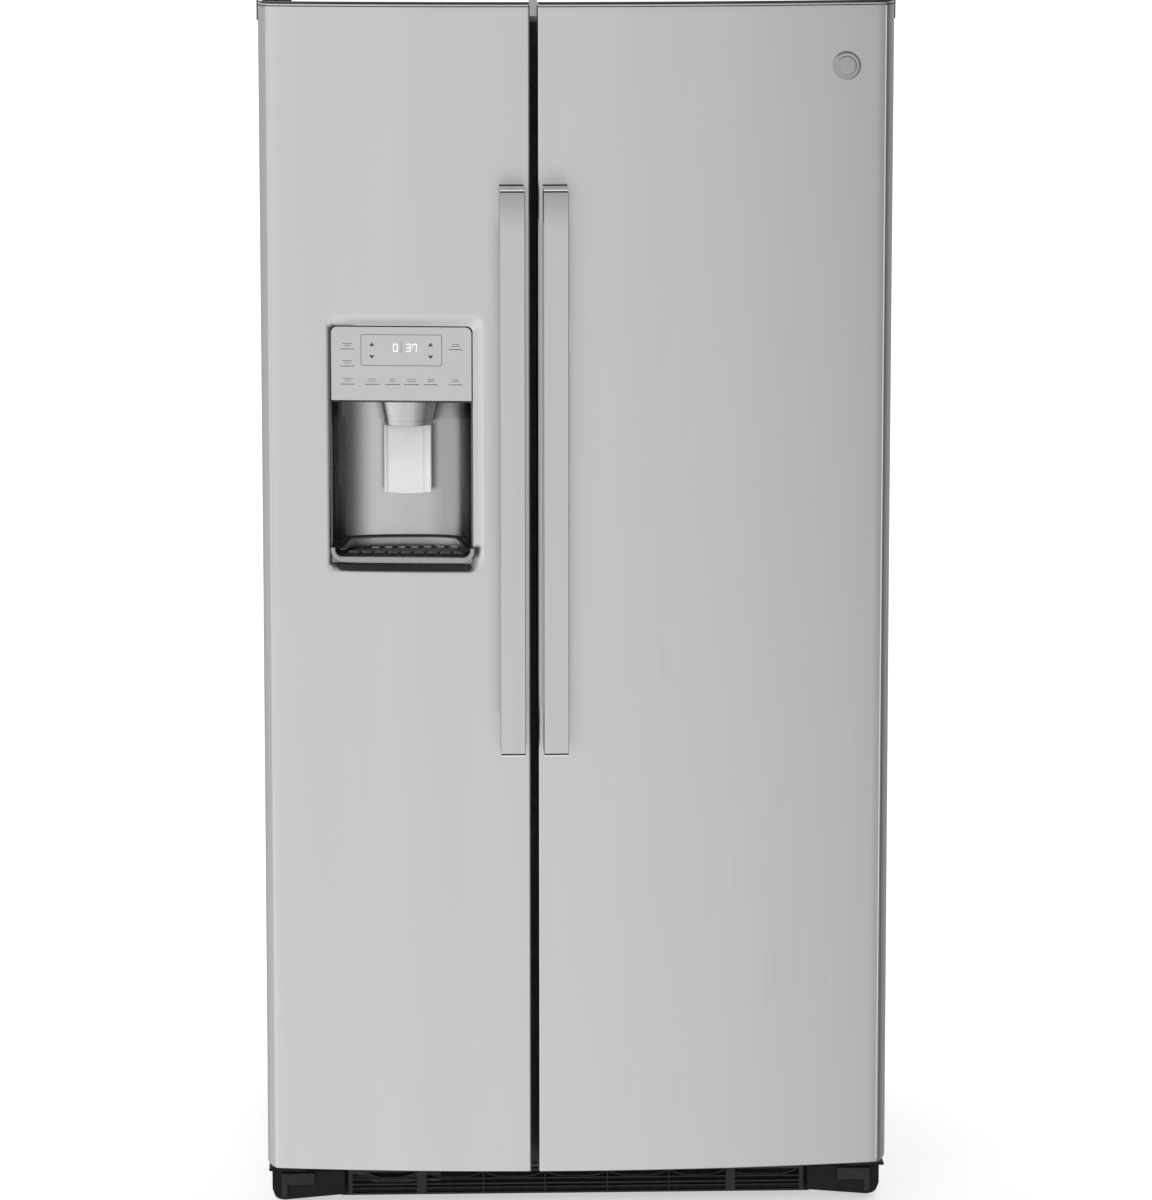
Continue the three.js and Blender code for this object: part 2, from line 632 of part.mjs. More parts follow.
// the white inner door: a flat pan with raised sides that carry the bins
function innerDoor(door, plan) {
  const edges = [door.outer - door.side * SHEET, door.inner + door.side * SHEET];
  const span = [Math.min(...edges), Math.max(...edges)];
  const plate = box(
    span, [DOOR_BACK - LINER, DOOR_BACK], [DOOR_BOTTOM + 1, DOOR_TOP - CAP_THICK - GAP]);
  const dykes = [plan.hingeDyke, plan.latchDyke].map((x) => box(x, [DOOR_BACK - 1, DYKE_FRONT], DYKE_Z));
  const across = [
    Math.min(plan.hingeDyke[0], plan.latchDyke[0]), Math.max(plan.hingeDyke[1], plan.latchDyke[1])];
  const bars = [
    box(across, [DOOR_BACK - 1, DYKE_FRONT], [DYKE_Z[0], DYKE_Z[0] + DYKE_BAR]),
    box(across, [DOOR_BACK - 1, DYKE_FRONT], [DYKE_Z[1] - DYKE_BAR, DYKE_Z[1]]),
  ];
  return join(plate, ...dykes, ...bars);
}

const CHUTE_MOUTH = { half: 46, y: [-232, -190], radius: 12, deep: 14 };
const NOZZLE = { y: -331, top: 43, bottom: 35, flatten: 0.64, low: 1163, high: 1206, wall: 3 };
const NOZZLE_SIDES = 28;

// slanted ice passage, from the mouth inside the door down to the oval top of the nozzle
function chutePassage(grow) {
  const { half, y: [y0, y1], radius, deep } = CHUTE_MOUTH;
  const mouth = roundedRectangle(
    [CHUTE_X - half - grow, CHUTE_X + half + grow], [y0 - grow, y1 + grow], radius, 3);
  const foot = Array.from({ length: NOZZLE_SIDES }, (_, i) => {
    const angle = 2 * Math.PI * (i / NOZZLE_SIDES);
    const reach = NOZZLE.top + grow;
    return [CHUTE_X + reach * Math.sin(angle), NOZZLE.y + NOZZLE.flatten * reach * Math.cos(angle)];
  });
  return hull([
    ...mouth.map(([x, y]) => [x, y, CHUTE_MOUTH_Z]),
    ...mouth.map(([x, y]) => [x, y, CHUTE_MOUTH_Z - deep]),
    ...foot.map(([x, y]) => [x, y, NOZZLE.high - 2]),
  ]);
}

// oval cone, wider across the door than it is deep
function nozzleCone(inset, over) {
  const cone = new THREE.CylinderGeometry(
    NOZZLE.top - inset, NOZZLE.bottom - inset, NOZZLE.high - NOZZLE.low + 2 * over, NOZZLE_SIDES);
  cone.rotateX(Math.PI / 2).scale(1, NOZZLE.flatten, 1);
  return cone.translate(CHUTE_X, NOZZLE.y, (NOZZLE.low + NOZZLE.high) / 2);
}

function iceChute() {
  const outside = join(chutePassage(0), nozzleCone(0, 0));
  const inner = chutePassage(-NOZZLE.wall);
  const { half, y: [y0, y1] } = CHUTE_MOUTH;
  const mouth = box([CHUTE_X - half + 4, CHUTE_X + half - 4], [y0 + NOZZLE.wall, y1 - NOZZLE.wall],
    [CHUTE_MOUTH_Z - 6, CHUTE_MOUTH_Z + 5]);
  return cut(outside, inner, mouth, nozzleCone(NOZZLE.wall, 3));
}

// swelling of the inner door that carries the ice passage
const BUMP = {
  wide: [-352, -146], narrow: [-310, -172], front: -182, foot: 950, slope: 1000, shoulder: 1170, lip: 1270,
};

function freezerDoorLiner() {
  const pan = innerDoor(DOORS.freezer, INNER_DOOR.freezer);
  const top = CHUTE_MOUTH_Z - 2;
  const bump = hull([
    ...BUMP.wide.flatMap((x) => [
      [x, DOOR_BACK - 1, BUMP.foot], [x, DYKE_FRONT, BUMP.slope], [x, DYKE_FRONT, BUMP.shoulder],
      [x, DOOR_BACK - 1, top], [x, DYKE_FRONT, top],
    ]),
    ...BUMP.narrow.flatMap((x) => [[x, BUMP.front, BUMP.lip], [x, BUMP.front, top]]),
  ]);
  return cut(join(pan, bump), chutePassage(GAP * 2));
}

const GASKET = { z: [96, 1718], bar: 17 };

function doorGasket(x0, x1) {
  const { z: [z0, z1], bar } = GASKET;
  const hole = box(
    [x0 + bar, x1 - bar], [GASKET_Y[0] - 1, GASKET_Y[1] + 1], [z0 + bar, z1 - bar]);
  return cut(box([x0, x1], GASKET_Y, [z0, z1]), hole);
}

const HANDLE_ROOT = -340; // behind the door's face, before the door's own space is taken away
const HANDLE_ROUND = 2.5;

function doorHandle([x0, x1], door) {
  const [z0, z1] = HANDLE_Z;
  const bar = HANDLE_FRONT + HANDLE_BAR;
  const plan = [
    [x0, HANDLE_ROOT], [x0, HANDLE_FRONT + HANDLE_ROUND], [x0 + HANDLE_ROUND, HANDLE_FRONT],
    [x1 - HANDLE_ROUND, HANDLE_FRONT], [x1, HANDLE_FRONT + HANDLE_ROUND], [x1, HANDLE_ROOT],
  ].reverse();
  const block = prismZ(plan, [z0, z1]);
  const gap = box([x0 - 1, x1 + 1], [bar, HANDLE_ROOT + 1], [z0 + HANDLE_POST, z1 - HANDLE_POST]);
  const doorSpace = prismZ(doorPlan(door, -GAP, -300), [z0 - 5, z1 + 5]);
  return cut(block, gap, doorSpace);
}

const BIN_Y = [-295.8, -196];

function doorBin(x, z) {
  return tray(x, BIN_Y, z, 3);
}

// ---- dispenser ----

const ALCOVE_RIM = -366; // where the curved wall starts, just behind the recess floor

// plan of the curved wall: nearly straight sides that round into the back
function alcovePlan(grow, frontY) {
  const centre = (NICHE_X[0] + NICHE_X[1]) / 2;
  const halfWidth = (NICHE_X[1] - NICHE_X[0]) / 2 - 1.2 + grow;
  const rim = ALCOVE_RIM;
  const steps = 18;
  const curve = Array.from({ length: steps + 1 }, (_, i) => {
    const angle = Math.PI * (i / steps);
    const [c, s] = [Math.cos(angle), Math.sin(angle)];
    const x = centre + halfWidth * Math.sign(c) * Math.abs(c) ** 0.75;
    return [x, rim + (ALCOVE_BACK + grow - rim) * Math.abs(s) ** 0.75];
  });
  return [[centre - halfWidth, frontY], [centre + halfWidth, frontY], ...curve];
}

function recessFloorY(x) {
  const [left, right] = RECESS_X.map((edge) => faceY(edge) + RECESS_DEPTH);
  return THREE.MathUtils.mapLinear(x, NICHE_X[0], NICHE_X[1], left, right);
}

// a slab parallel to the recess floor, between two depths behind it
function recessSlab(near, far, [z0, z1]) {
  return hull([NICHE_X[0] - 20, NICHE_X[1] + 20].flatMap((x) => [near, far].flatMap((depth) => [
    [x, recessFloorY(x) + depth, z0], [x, recessFloorY(x) + depth, z1],
  ])));
}

function dispenserHousing() {
  const [x0, x1] = [NICHE_X[0] + GAP, NICHE_X[1] - GAP];
  const body = prismZ([
    [x0, HOUSING_BACK], [x0, recessFloorY(x0)], [x1, recessFloorY(x1)], [x1, HOUSING_BACK],
  ].reverse(), [NICHE_Z[0] + GAP, NICHE_Z[1] - GAP]);
  const alcove = prismZ(alcovePlan(0, -420), ALCOVE_Z);
  const panelSeat = recessSlab(-20, 6, [ALCOVE_Z[1] - 1, NICHE_Z[1] + 5]);
  const nozzleSpace = nozzleCone(-1, 1);
  const hollowed = cut(body, alcove, panelSeat, nozzleSpace, chutePassage(GAP * 2));
  const ears = [PADDLE.x[0] + EAR.inset, PADDLE.x[1] - EAR.inset - EAR.thick];
  return join(hollowed, ...ears.map(paddleEar));
}

function dispenserPanel() {
  const [x0, x1] = [NICHE_X[0] + 1, NICHE_X[1] - 1];
  const radius = 9;
  const outline = [
    [x0, PANEL_Z[0]], [x1, PANEL_Z[0]],
    ...roundedRectangle([x0, x1], [PANEL_Z[0] - 20, PANEL_Z[1]], radius, 5)
      .slice(0, 12),
  ];
  return overlapOf(recessSlab(0.5, 5.5, PANEL_Z), prismY(outline, [-400, -330]));
}

const PADDLE = { x: [-277, -209], y: [-327, -322], low: 1061, high: 1161 };
// hinge hidden behind the paddle: its barrel turns in two ears of the housing
const PIVOT = { y: -314, z: 1156, radius: 3.5, play: 0.8, inset: 9, webInset: 14 };
const EAR = { inset: 7.5, thick: 5, ahead: 6.5, below: 9, above: 7 };

function dispenserPaddle() {
  const [x0, x1] = PADDLE.x;
  const middle = (x0 + x1) / 2;
  const plate = prismY([
    [x0, PADDLE.low + 3], [middle - 14, PADDLE.low], [middle + 14, PADDLE.low],
    [x1, PADDLE.low + 3], [x1, PADDLE.high], [x0, PADDLE.high],
  ], PADDLE.y);
  const rail = (x) => box([x, x + 3], [PADDLE.y[0] - 4, PADDLE.y[0] + 1], [PADDLE.low + 6, PADDLE.high]);
  const web = box(
    [x0 + PIVOT.webInset, x1 - PIVOT.webInset], [PADDLE.y[1] - 1, PIVOT.y], [PIVOT.z - 2, PIVOT.z + 2]);
  const barrel = rodX(PIVOT.y, PIVOT.z, PIVOT.radius, [x0 + PIVOT.inset, x1 - PIVOT.inset], 12);
  return join(plate, rail(x0), rail(x1 - 3), web, barrel);
}

function paddleEar(x) {
  const ear = box([x, x + EAR.thick], [PIVOT.y - EAR.ahead, HOUSING_BACK - 2],
    [PIVOT.z - EAR.below, PIVOT.z + EAR.above]);
  return cut(ear, rodX(PIVOT.y, PIVOT.z, PIVOT.radius + PIVOT.play, [x - 1, x + EAR.thick + 1], 12));
}

const TRAY_LIP = { top: 991, flat: 978, low: 969, band: 7, overhang: [0.8, 2.5], front: -13, back: -2.2 };

// a smile-shaped lip in front and a ribbed floor that fills the alcove's plan
function dripTray() {
  const floorZ = [ALCOVE_Z[0] + GAP, ALCOVE_Z[0] + 7];
  const floor = overlapOf(
    prismZ(alcovePlan(-0.8, -420), floorZ), recessSlab(TRAY_LIP.back - 2, 90, floorZ));
  const [x0, x1] = [NICHE_X[0] - TRAY_LIP.overhang[0], NICHE_X[1] + TRAY_LIP.overhang[1]];
  const arc = (cx, radius, from, to) => Array.from({ length: 6 }, (_, i) => {
    const angle = THREE.MathUtils.lerp(from, to, i / 5);
    return [cx + radius * Math.cos(angle), TRAY_LIP.top + radius * Math.sin(angle) - 4];
  });
  const outerDepth = TRAY_LIP.top - 4 - TRAY_LIP.low;
  const innerDepth = TRAY_LIP.top - 4 - TRAY_LIP.flat;
  const band = TRAY_LIP.band;
  const outline = [
    [x0, TRAY_LIP.top],
    ...arc(x0 + outerDepth, outerDepth, Math.PI, 1.5 * Math.PI),
    ...arc(x1 - outerDepth, outerDepth, 1.5 * Math.PI, 2 * Math.PI),
    [x1, TRAY_LIP.top], [x1 - band, TRAY_LIP.top],
    ...arc(x1 - band - innerDepth, innerDepth, 2 * Math.PI, 1.5 * Math.PI),
    ...arc(x0 + band + innerDepth, innerDepth, 1.5 * Math.PI, Math.PI),
    [x0 + band, TRAY_LIP.top],
  ];
  const lip = overlapOf(
    prismY(outline, [-400, -340]),
    recessSlab(TRAY_LIP.front, TRAY_LIP.back, [TRAY_LIP.low - 5, TRAY_LIP.top + 5]));
  return join(floor, lip);
}

// ---- inside the cabinet ----

const FREEZER_IN = [FREEZER_X[0] + LINER, FREEZER_X[1] - LINER];
const FRESH_IN = [FRESH_X[0] + LINER, FRESH_X[1] - LINER];
const SHELF = { front: -165, freezerBack: 280, freshBack: 350, freezerThick: 14, freshThick: 16, rim: 12 };

function shelf([x0, x1], [y0, y1], z, thick) {
  const { rim } = SHELF;
  const body = box([x0, x1], [y0, y1], [z, z + thick]);
  return cut(body, box([x0 + rim, x1 - rim], [y0 + rim, y1 - rim], [z + thick - 3, z + thick + 1]));
}

const ICE_MAKER = {
  x: [-382, -128],
  profile: [[-20, 1580], [-20, 1640], [0, 1662], [150, 1662], [150, 1566], [0, 1566]],
  plate: { x: [-386, -124], y: [0, 150], low: 1660 },
};

function iceMaker() {
  const { x: ends, profile, plate } = ICE_MAKER;
  const body = hull(ends.flatMap((x) => profile.map(([y, z]) => [x, y, z])));
  return join(body, box(plate.x, plate.y, [plate.low, CAVITY_CEILING - LINER - 1]));
}

const BUCKET = { x: [-380, -108], y: [-230, 105], z: [1345, 1530] };

function iceBucket() {
  const hole = box([CHUTE_X - 42, CHUTE_X + 42], [-224, -192], [BUCKET.z[0] - 1, BUCKET.z[0] + 5]);
  return cut(tray(BUCKET.x, BUCKET.y, BUCKET.z, 3.5), hole);
}

const FILTER = { x: 345, z: 1624, radius: 32, y: [40, 296], grip: { front: 22, half: 4, reach: 24 } };
const FILTER_HEAD = { x: [296, 394], y: [236, 352], z: [1562, 1684], bore: 300 };

function filterHousing() {
  const { x, y, z, bore } = FILTER_HEAD;
  return cut(box(x, y, z), rodY(FILTER.x, FILTER.z, FILTER.radius + 1, [y[0] - 6, bore], 28));
}

function waterFilter() {
  const { x, z, radius, y, grip } = FILTER;
  const cartridge = rodY(x, z, radius, y, 28);
  const key = box([x - grip.half, x + grip.half], [grip.front, y[0] + 2], [z - grip.reach, z + grip.reach]);
  return join(cartridge, key);
}

function freezerShelf(z) {
  const span = [FREEZER_IN[0] + 2, FREEZER_IN[1] - 2];
  return shelf(span, [SHELF.front, SHELF.freezerBack], z, SHELF.freezerThick);
}

function freshShelf(z) {
  const span = [FRESH_IN[0] + 2, FRESH_IN[1] - 2];
  return shelf(span, [SHELF.front, SHELF.freshBack], z, SHELF.freshThick);
}

const DRAWERS = {
  basket: { x: [-366, -108], y: [-165, 92], z: [150, 372] },
  upper: { x: [-18, 362], y: [-157, 330], z: [400, 622] },
  lower: { x: [-18, 362], y: [-157, 92], z: [150, 372] },
};

// an open box with a bar across its front to pull it by
function drawer({ x: [x0, x1], y: [y0, y1], z: [z0, z1] }) {
  const body = tray([x0, x1], [y0, y1], [z0, z1], 3);
  const pull = box([x0 + 20, x1 - 20], [y0 - 8, y0 + 1], [z1 - 26, z1 - 12]);
  return join(body, pull);
}

const BADGE = { x: 382, z: 1678, radius: 20, proud: 5 };

function badge() {
  const { x, z, radius, proud } = BADGE;
  const disc = rodY(x, z, radius, [faceY(x) - proud, HANDLE_ROOT], 36);
  const doorSpace = prismZ(doorPlan(DOORS.fresh, -GAP, -300), [z - 30, z + 30]);
  return cut(disc, doorSpace);
}

// ---- assembly ----

addPart('outer_case', outerCase(), 'casePaint');
addPart('insulation_foam', insulationFoam(), 'foam');
addPart('freezer_liner', liner(FREEZER_X, [-CASE_HALF + LIP, MULLION_X[0]]), 'liner');
addPart('fresh_food_liner', liner(FRESH_X, [MULLION_X[1], CASE_HALF - LIP]), 'liner');
addPart('back_panel', backPanel(), 'casePaint');
addPart('base_pan', basePan(), 'zinc');
addPart('machine_cover', machineCover(), 'gray');
addPart('power_inlet', powerInlet(), 'black');
addPart('compressor', compressor(), 'black');
addPart('condenser_coil', condenserCoil(), 'black');
addPart('condenser_fan', condenserFan(), 'black');
addPart('water_valve', waterValve(), 'white');
addPart('evaporator_cover', evaporatorCover(), 'liner');
addPart('evaporator_coil', evaporatorCoil(), 'copper');
addPart('evaporator_fan', evaporatorFan(), 'white');
addPart('base_grille', baseGrille(), 'black');

for (const [name, side] of [['left', -1], ['right', 1]]) {
  addPart(`${name}_leg_bracket`, legBracket(side), 'black');
  addPart(`leveling_leg_${name}`, levelingLeg(side), 'zinc');
  addPart(`rear_roller_${name}`, rearRoller(side), 'black');
  addPart(`${name}_top_hinge`, topHinge(side), 'zinc');
  addPart(`${name}_hinge_cover`, hingeCover(side), 'gray');
}

addPart('ice_maker', iceMaker(), 'white');
addPart('ice_bucket', iceBucket(), 'clear');
addPart('bucket_shelf', freezerShelf(1326), 'clear');
addPart('freezer_shelf', freezerShelf(800), 'clear');
addPart('freezer_basket', drawer(DRAWERS.basket), 'clear');
addPart('upper_glass_shelf', freshShelf(1330), 'clear');
addPart('lower_glass_shelf', freshShelf(980), 'clear');
addPart('crisper_cover', freshShelf(634), 'clear');
addPart('crisper_upper', drawer(DRAWERS.upper), 'clear');
addPart('crisper_lower', drawer(DRAWERS.lower), 'clear');
addPart('filter_housing', filterHousing(), 'white');
addPart('water_filter', waterFilter(), 'white');

addPart('freezer_door_skin', freezerDoorSkin(), 'steel');
addPart('freezer_door_liner', freezerDoorLiner(), 'liner');
addPart('freezer_door_gasket', doorGasket(-428, -74), 'rubber');
addPart('freezer_door_top_cap', doorTopCap(DOORS.freezer), 'gray');
addPart('freezer_handle', doorHandle(HANDLE_X.freezer, DOORS.freezer), 'steel');
addPart('dispenser_housing', dispenserHousing(), 'satin');
addPart('dispenser_panel', dispenserPanel(), 'satin');
addPart('ice_chute', iceChute(), 'satin');
addPart('dispenser_paddle', dispenserPaddle(), 'white');
addPart('drip_tray', dripTray(), 'satin');
addPart('freezer_bin_upper', doorBin(INNER_DOOR.freezer.bin, [1545, 1635]), 'clear');
addPart('freezer_bin_middle', doorBin(INNER_DOOR.freezer.bin, [640, 740]), 'clear');
addPart('freezer_bin_lower', doorBin(INNER_DOOR.freezer.bin, [280, 380]), 'clear');

addPart('fresh_food_door_skin', doorShell(DOORS.fresh), 'steel');
addPart('fresh_food_door_liner', innerDoor(DOORS.fresh, INNER_DOOR.fresh), 'liner');
addPart('fresh_food_door_gasket', doorGasket(-52, 428), 'rubber');
addPart('fresh_food_door_top_cap', doorTopCap(DOORS.fresh), 'gray');
addPart('fresh_food_handle', doorHandle(HANDLE_X.fresh, DOORS.fresh), 'steel');
addPart('badge', badge(), 'satin');
addPart('fresh_food_bin_upper', doorBin(INNER_DOOR.fresh.bin, [1380, 1490]), 'clear');
addPart('fresh_food_bin_middle', doorBin(INNER_DOOR.fresh.bin, [900, 1020]), 'clear');
addPart('fresh_food_bin_lower', doorBin(INNER_DOOR.fresh.bin, [330, 470]), 'clear');

export default refrigerator;
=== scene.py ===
import math

import bmesh
import bpy
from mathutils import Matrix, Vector


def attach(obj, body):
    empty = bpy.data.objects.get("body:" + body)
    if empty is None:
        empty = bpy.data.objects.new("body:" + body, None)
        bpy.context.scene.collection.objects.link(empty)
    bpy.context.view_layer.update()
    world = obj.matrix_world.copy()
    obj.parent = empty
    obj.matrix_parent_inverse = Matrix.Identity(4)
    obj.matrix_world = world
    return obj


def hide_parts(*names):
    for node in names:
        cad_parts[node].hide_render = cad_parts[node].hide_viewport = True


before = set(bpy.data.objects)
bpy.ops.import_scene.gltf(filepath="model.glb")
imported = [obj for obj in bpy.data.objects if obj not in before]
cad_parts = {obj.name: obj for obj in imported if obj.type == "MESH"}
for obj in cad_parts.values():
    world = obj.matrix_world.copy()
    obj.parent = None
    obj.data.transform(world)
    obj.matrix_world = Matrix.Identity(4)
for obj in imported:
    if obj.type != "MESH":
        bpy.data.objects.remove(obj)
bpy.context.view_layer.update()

# Shapes below are in millimetres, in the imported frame: +X right, -Y front, +Z up.
MM = 0.001
SHARP = math.radians(64)  # edges sharper than this are shaded sharp; bevels start from 0.6 of it

# ---- dimensions shared with the CAD model ----

CASE_HALF, CASE_FRONT, CASE_BACK, CASE_BOTTOM, CASE_TOP = 450, -286.5, 436.5, 46, 1744
DOOR_HALF = 452
FACE_EDGE_Y = -351.5
BOW = 34
BOW_RADIUS = (DOOR_HALF**2 + BOW**2) / (2 * BOW)
SKIN_BACK = -299.8
DOOR_BACK = -296.5
DOOR_BOTTOM = 66
SKIN_TOP = 1768.7
DOOR_TOP = 1771
RECESS_X, RECESS_Z = (-359.5, -135.8), (955, 1324)
NICHE_X, NICHE_Z = (-353.6, -150.5), (966, 1309)
RECESS_DEPTH = 9
ALCOVE_BACK = -307
ALCOVE_Z = (975, 1201.2)
CHUTE_X = -243
DOORS = {"freezer": (-1, -452, -68.4), "fresh_food": (1, 452, -57.4)}


def face_y(x):
    """Front of the bowed doors at x."""
    return FACE_EDGE_Y - BOW + BOW_RADIUS - math.sqrt(BOW_RADIUS**2 - x**2)


def floor_y(x):
    """Flat floor of the pressed recess round the dispenser, at x."""
    left, right = (face_y(edge) + RECESS_DEPTH for edge in RECESS_X)
    return left + (right - left) * (x - NICHE_X[0]) / (NICHE_X[1] - NICHE_X[0])


def mix(a, b, t):
    return a + (b - a) * t


def clamp(t):
    return min(max(t, 0), 1)


def steps(a, b, count):
    """count + 1 numbers from a to b."""
    return [mix(a, b, i / count) for i in range(count + 1)]


def shrunk(span, inset):
    """A span made shorter at both ends."""
    return span[0] + inset, span[1] - inset


# ---- mesh building ----


class Shape:
    """Closed bodies gathered into one mesh."""

    def __init__(self, points=(), faces=()):
        self.points, self.faces = list(points), list(faces)

    def add(self, points, faces, bevel=0.0, segments=2):
        bm = bmesh.new()
        made = [bm.verts.new(p) for p in points]
        for face in faces:
            bm.faces.new([made[i] for i in face])
        bmesh.ops.recalc_face_normals(bm, faces=bm.faces)
        if bevel:
            round_edges(bm, bevel, segments)
        base = len(self.points)
        bm.verts.index_update()
        self.points += [v.co[:] for v in bm.verts]
        self.faces += [[base + v.index for v in f.verts] for f in bm.faces]
        bm.free()
        return self

    def loft(self, loops, bevel=0.0, segments=2, **how):
        return self.add(*loft(loops, **how), bevel, segments)

    def prism(self, outline, axis, span, bevel=0.0, segments=2):
        return self.loft([flat(axis, outline, w) for w in span], bevel, segments)

    def box(self, x, y, z, bevel=0.0, segments=2):
        outline = [(x[0], y[0]), (x[1], y[0]), (x[1], y[1]), (x[0], y[1])]
        return self.prism(outline, "z", z, bevel, segments)

    def revolve(self, axis, centre, profile, sides=32):
        """profile lists (radius, place along the axis), from one flat end to the other."""
        return self.loft([flat(axis, ring(centre, r, sides), w) for r, w in profile])

    def rod(self, axis, centre, radius, span, edge=0.6, sides=24):
        a, b = span
        return self.revolve(axis, centre, [
            (radius - edge, a), (radius, a + edge), (radius, b - edge), (radius - edge, b)], sides)

    def tube(self, path, radius, sides=10):
        return self.loft(swept(path, ring((0, 0), radius, sides)))

    def moved(self, change):
        """Every point sent through change, a function from a point to a point."""
        self.points = [tuple(change(*p)) for p in self.points]
        return self

    def merge(self, other):
        base = len(self.points)
        self.points += other.points
        self.faces += [[base + i for i in f] for f in other.faces]
        return self


def round_edges(bm, width, segments=2):
    sharp = [e for e in bm.edges if e.is_manifold and e.calc_face_angle() > SHARP * 0.6]
    bmesh.ops.bevel(
        bm, geom=sharp, offset=width, segments=segments, profile=0.5, affect="EDGES", clamp_overlap=True)


def flat(axis, outline, w):
    """A flat outline stood across an axis, w along it."""
    return [{"x": (w, u, v), "y": (u, w, v), "z": (u, v, w)}[axis] for u, v in outline]


def polar(centre, radius, a, flatten=1.0):
    return centre[0] + radius * math.cos(a), centre[1] + radius * flatten * math.sin(a)


def ring(centre, radius, sides, flatten=1.0):
    return [polar(centre, radius, 2 * math.pi * i / sides, flatten) for i in range(sides)]


def arc(centre, radius, start, end, count):
    """Points along part of a circle, between two angles in degrees."""
    return [polar(centre, radius, math.radians(angle)) for angle in steps(start, end, count)]


def loft(loops, caps=True, endless=False, cyclic=True):
    """Points and faces of a skin through loops with the same number of points."""
    n = len(loops[0])
    points = [p for loop in loops for p in loop]
    faces = []
    for r in range(len(loops) if endless else len(loops) - 1):
        a, b = r * n, (r + 1) % len(loops) * n
        for c in range(n if cyclic else n - 1):
            d = (c + 1) % n
            faces.append([a + c, a + d, b + d, b + c])
    if caps and not endless:
        faces += [list(range(n))[::-1], [len(points) - n + i for i in range(n)]]
    return points, faces


def rounded(u, v, radius, count=5):
    """Rounded rectangle from its two spans, as a closed list of points."""
    (u0, u1), (v0, v1) = shrunk(u, radius), shrunk(v, radius)
    return [point for turn, centre in enumerate([(u1, v1), (u0, v1), (u0, v0), (u1, v0)])
            for point in arc(centre, radius, turn * 90, turn * 90 + 90, count)]


def arch(x, z, radius):
    """Outline with two rounded upper corners."""
    (x0, x1), top = shrunk(x, radius), z[1] - radius
    return [(x[0], z[0]), (x[1], z[0]), *arc((x1, top), radius, 0, 90, 6), *arc((x0, top), radius, 90, 180, 6)]


def swept(path, section):
    """Copies of a flat section carried along a path without twisting."""
    path = [Vector(p) for p in path]
    loops, side = [], None
    for i, point in enumerate(path):
        along = (path[min(i + 1, len(path) - 1)] - path[max(i - 1, 0)]).normalized()
        if side is None:
            side = along.orthogonal().normalized()
        side = (side - along * side.dot(along)).normalized()
        other = along.cross(side)
        loops.append([tuple(point + side * u + other * v) for u, v in section])
    return loops


def smooth_path(points):
    """Catmull-Rom curve through the points."""
    knots = [points[0], *points, points[-1]]
    out = []
    for i in range(1, len(knots) - 2):
        p0, p1, p2, p3 = (Vector(k) for k in knots[i - 1 : i + 3])
        for t in steps(0, 1, 6)[:-1]:
            out.append(tuple(0.5 * (
                2 * p1 + (p2 - p0) * t + (2 * p0 - 5 * p1 + 4 * p2 - p3) * t**2
                + (3 * p1 - p0 - 3 * p2 + p3) * t**3)))
    return [*out, tuple(points[-1])]


def piece(name, shape, look, body, *nodes, thick=0.0):
    """The object for a shape. It rides on a CAD body, takes its finish's slot and stands for CAD nodes."""
    mesh = bpy.data.meshes.new(name)
    mesh.from_pydata([[c * MM for c in p] for p in shape.points], [], shape.faces)
    mesh.shade_smooth()
    mesh.set_sharp_from_angle(angle=SHARP)
    mesh.materials.append(LOOKS[look])
    obj = bpy.data.objects.new(name, mesh)
    bpy.context.scene.collection.objects.link(obj)
    if thick:
        wall = obj.modifiers.new("wall", "SOLIDIFY")
        wall.thickness, wall.offset = thick * MM, -1
    obj.modifiers.new("normals", "WEIGHTED_NORMAL").keep_sharp = True
    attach(obj, body)
    if nodes:
        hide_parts(*nodes)
    return obj


def refined(node, bevel, segments=2):
    """A CAD node's own shape with its flats merged and its edges rounded."""
    bm = bmesh.new()
    bm.from_mesh(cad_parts[node].data)
    bmesh.ops.scale(bm, vec=(1 / MM,) * 3, verts=bm.verts)
    bmesh.ops.remove_doubles(bm, verts=bm.verts, dist=0.01)
    bmesh.ops.dissolve_limit(bm, angle_limit=math.radians(0.5), verts=bm.verts, edges=bm.edges)
    if bevel:
        round_edges(bm, bevel, segments)
    bm.verts.index_update()
    shape = Shape([v.co[:] for v in bm.verts], [[v.index for v in f.verts] for f in bm.faces])
    bm.free()
    return shape


# ---- finishes ----


def add_node(tree, kind, inputs=(), **settings):
    """A new shader node. inputs gives its sockets a value, or the output that is linked to them."""
    node = tree.nodes.new("ShaderNode" + kind)
    for key, value in settings.items():
        setattr(node, key, value)
    for key, value in dict(inputs).items():
        fill(tree, node.inputs[key], value)
    return node


def fill(tree, socket, value):
    if isinstance(value, bpy.types.NodeSocket):
        tree.links.new(value, socket)
    else:
        socket.default_value = value


def shaded(tree, tone, along, places):
    """Painted shading: a colour scaled by a factor that changes along an axis, as (place in metres, factor).
    """
    factor = places[0][1]
    for (start, before), (end, after) in zip(places, places[1:]):
        step = add_node(tree, "MapRange", {
            "Value": along, "From Min": start, "From Max": end, "To Min": 1, "To Max": after / before})
        both = add_node(tree, "Math", {0: factor, 1: step.outputs["Result"]}, operation="MULTIPLY")
        factor = both.outputs[0]
    scaled = add_node(tree, "VectorMath", operation="SCALE")
    fill(tree, scaled.inputs["Vector"], tone)
    fill(tree, scaled.inputs["Scale"], factor)
    return scaled.outputs["Vector"]


